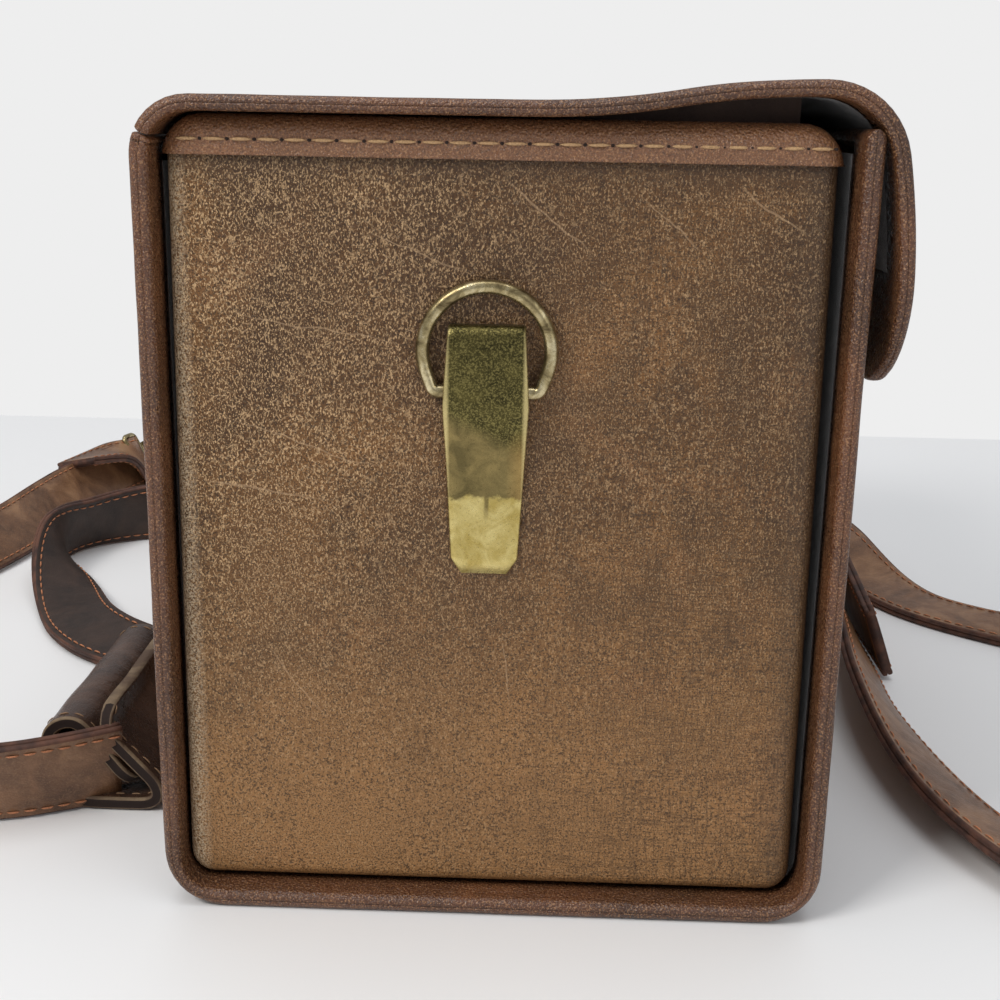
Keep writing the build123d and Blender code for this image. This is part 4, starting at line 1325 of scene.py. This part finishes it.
def make_lug(side, word, materials):
    """Folded brass lug over the ring's bar, tapering to a rounded foot."""
    line = spline_points([Vector((0, d, z)) for d, z in lug_path], 6)
    radius = lug_corner_radius
    verts = []
    rows = 0
    tail = line[-1].z
    for place, run in zip(line, directions(line)):
        out = Vector((0, -run.z, run.y))
        half = width_at(place.z, lug_widths)
        rise = place.z - tail
        if rise < radius:
            half = half - radius + math.sqrt(max(0, radius ** 2 - (radius - rise) ** 2))
        ring = lug_ring(half)
        rows = len(ring)
        for x, t in ring:
            if t > 0:
                t += 0.00012 * noise.noise(Vector((x * 160, place.z * 120, side)))
            deep = panel_face + place.y + out.y * t
            verts.append(Vector((lug_x + x, side * deep, place.z + out.z * t)))
    faces = tube_faces(len(line), rows)
    if side < 0:
        faces = [f[::-1] for f in faces]
    lug = new_piece(f"{word}_lug", verts, faces, "case", materials["lug"])
    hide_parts(f"{word}_lug_plate")


def width_at(z, widths):
    """Half width between the given heights."""
    for (z1, w1), (z0, w0) in zip(widths, widths[1:]):
        if z >= z0:
            share = min(1, (z - z0) / (z1 - z0))
            return w0 + (w1 - w0) * share
    return widths[-1][1]


# Inside pads

def cushion(node, axis, material):
    """A stuffed insert: a crowned slab with rounded, drawn-in edges."""
    puff = 0.0004
    low, high = (Vector(corner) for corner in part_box(node))
    size = high - low
    long_axes = [i for i in range(3) if i != axis]
    counts = [max(8, round(size[i] / cushion_step)) for i in long_axes]
    verts = []
    for top in (1, -1):
        for i in range(counts[0] + 1):
            for j in range(counts[1] + 1):
                u = 2 * i / counts[0] - 1
                v = 2 * j / counts[1] - 1
                edge = min(size[long_axes[0]] / 2 * (1 - abs(u)), size[long_axes[1]] / 2 * (1 - abs(v)))
                roll = min(1, edge / (size[axis] / 2))
                thick = size[axis] / 2 * (0.45 + 0.55 * math.sqrt(max(0, 1 - (1 - roll) ** 2)))
                thick -= puff * (0.5 + 0.5 * noise.noise(Vector((u * 3, v * 3, top))))
                place = Vector((0, 0, 0))
                place[long_axes[0]] = low[long_axes[0]] + size[long_axes[0]] * (u + 1) / 2
                place[long_axes[1]] = low[long_axes[1]] + size[long_axes[1]] * (v + 1) / 2
                place[axis] = (low[axis] + high[axis]) / 2 + top * thick
                verts.append(place)
    rows = counts[0] + 1
    columns = counts[1] + 1
    faces = grid_faces(rows, columns)
    other = [tuple(index + rows * columns for index in face)[::-1] for face in faces]
    border = border_of(rows, columns)
    sides = []
    shift = rows * columns
    for k, index in enumerate(border):
        following = border[(k + 1) % len(border)]
        sides.append((index, index + shift, following + shift, following))
    piece = new_piece(f"{node}_cushion", verts, faces + other + sides, "case", material)
    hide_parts(node)


def paint(names, material, bevel=0.0):
    """Give CAD nodes a material, and soften their edges a little."""
    for name in names:
        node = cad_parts[name]
        if not node.material_slots:
            node.data.materials.append(material)
        for slot in node.material_slots:
            slot.material = material
        if bevel > 0:
            soft = node.modifiers.new("soft_edges", "BEVEL")
            soft.width = bevel
            soft.segments = 2
            soft.limit_method = "ANGLE"
            soft.angle_limit = math.radians(40)


def make_room(materials):
    """The table the case stands on."""
    corners = [
        (-table_side, -table_side, 0),
        (table_side, -table_side, 0),
        (table_side, table_far_edge, 0),
        (-table_side, table_far_edge, 0),
    ]
    mesh = bpy.data.meshes.new("table")
    mesh.from_pydata(corners, [], [(0, 1, 2, 3)])
    mesh.materials.append(materials["table"])
    table = bpy.data.objects.new("table", mesh)
    bpy.context.scene.collection.objects.link(table)


def area_light(name, place, target, size, power, colour):
    """A soft square light that faces a point."""
    data = bpy.data.lights.new(name, "AREA")
    data.shape = "SQUARE"
    data.size = size
    data.energy = power
    data.color = colour
    light = bpy.data.objects.new(name, data)
    bpy.context.scene.collection.objects.link(light)
    light.location = place
    direction = Vector(target) - Vector(place)
    light.rotation_euler = direction.to_track_quat("-Z", "Y").to_euler()


def make_lights():
    """Soft daylight from the upper left, with a weaker fill."""
    area_light("key", (-0.8, -0.8, 1.1), (0, -0.05, 0.08), 0.45, 11, (1.0, 0.985, 0.96))
    area_light("top", (0.0, -0.1, 1.6), (0, 0, 0.05), 1.2, 10, (0.98, 0.985, 1.0))
    area_light("fill", (1.1, -1.2, 0.7), (0, 0, 0.08), 1.2, 4, (0.97, 0.98, 1.0))
    world = bpy.context.scene.world or bpy.data.worlds.new("world")
    bpy.context.scene.world = world
    world.use_nodes = True
    tree = world.node_tree
    sky = tree.nodes["Background"]
    sky.inputs["Color"].default_value = (0.93, 0.95, 0.98, 1)
    sky.inputs["Strength"].default_value = 0.42
    behind = tree.nodes.new("ShaderNodeBackground")
    behind.inputs["Color"].default_value = rgb(238, 238, 238)
    seen = tree.nodes.new("ShaderNodeLightPath").outputs["Is Camera Ray"]
    both = tree.nodes.new("ShaderNodeMixShader")
    tree.links.new(seen, both.inputs[0])
    tree.links.new(sky.outputs[0], both.inputs[1])
    tree.links.new(behind.outputs[0], both.inputs[2])
    tree.links.new(both.outputs[0], tree.nodes["World Output"].inputs["Surface"])
    bpy.context.scene.view_settings.view_transform = "Standard"


def make_materials():
    """Every material by a short name."""
    return {
        "rim": rim_leather("rim_leather", 0.0),
        # The binding's lighter copy of the rim leather is painted light that offsets the shade it gets
        # under the lid.
        "binding": rim_leather("binding_leather", 0.45),
        "panel": panel_leather(),
        "strap": strap_leather("strap_face", rgb(118, 84, 59), rgb(86, 59, 41), rgb(156, 119, 87), 0.3),
        "strap_shade": strap_leather(
            "strap_shade", rgb(50, 36, 29), rgb(36, 26, 21), rgb(66, 48, 38), 0.45,
        ),
        "strap_edge": cut_edge("strap_edge", rgb(58, 36, 28), rgb(104, 66, 48)),
        "pad": strap_leather("pad_face", rgb(64, 45, 35), rgb(42, 28, 22), rgb(90, 66, 52), 0.22),
        "pad_edge": cut_edge("pad_edge", rgb(132, 112, 86), rgb(84, 64, 46)),
        "thread": thread("thread", rgb(222, 184, 134)),
        "strap_thread": thread("strap_thread", rgb(214, 140, 98)),
        "pad_thread": thread("pad_thread", rgb(150, 126, 96)),
        "hole": painted_hole_shade(),
        "ring": brass("ring_brass", rgb(212, 198, 160), rgb(164, 148, 108), rgb(96, 82, 56), 0.18),
        "lock": brass("lock_brass", rgb(208, 184, 104), rgb(160, 136, 70), rgb(88, 70, 38), 0.22),
        "lug": lug_brass(),
        "lining": lining_cloth(),
        "board": grey_board(),
        "table": plain_table(),
    }


make_camera()
materials = make_materials()
pad = make_pad(materials)
hooks_a = ["hook_eye_a", "hook_body_a", "hook_gate_a", "hook_pin_a"]
hooks_b = ["hook_eye_b", "hook_body_b", "hook_gate_b", "hook_pin_b"]
make_strap("strap_part_a", route_a, bar_a, tab_a, "strap_a", materials)
make_strap("strap_part_b", route_b, bar_b, tab_b, "strap_b", materials, dark_length=shade_end)
make_wrap(materials)
make_lid(materials)
make_end(-1, "near", materials)
make_end(1, "far", materials)
make_lug(-1, "near", materials)
make_lug(1, "far", materials)
cushion("base_pad", 2, materials["lining"])
cushion("divider", 1, materials["lining"])
paint(["body_lining", "lid_lining", "near_end_lining", "far_end_lining"], materials["lining"])
paint(["near_end_foam", "far_end_foam"], materials["lining"])
paint(["back_board", "bottom_board", "front_board", "lid_stiffener"], materials["board"])
paint(["near_end_board", "far_end_board"], materials["board"])
paint(["near_ring", "far_ring", *hooks_a, *hooks_b], materials["ring"])
paint(["near_lug_rivet", "far_lug_rivet", "hasp_rivets", "lock_rivets"], materials["lock"])
paint(["lock_case", "lock_bolt", "lock_button", "hasp"], materials["lock"], lock_edge)
make_room(materials)
make_lights()
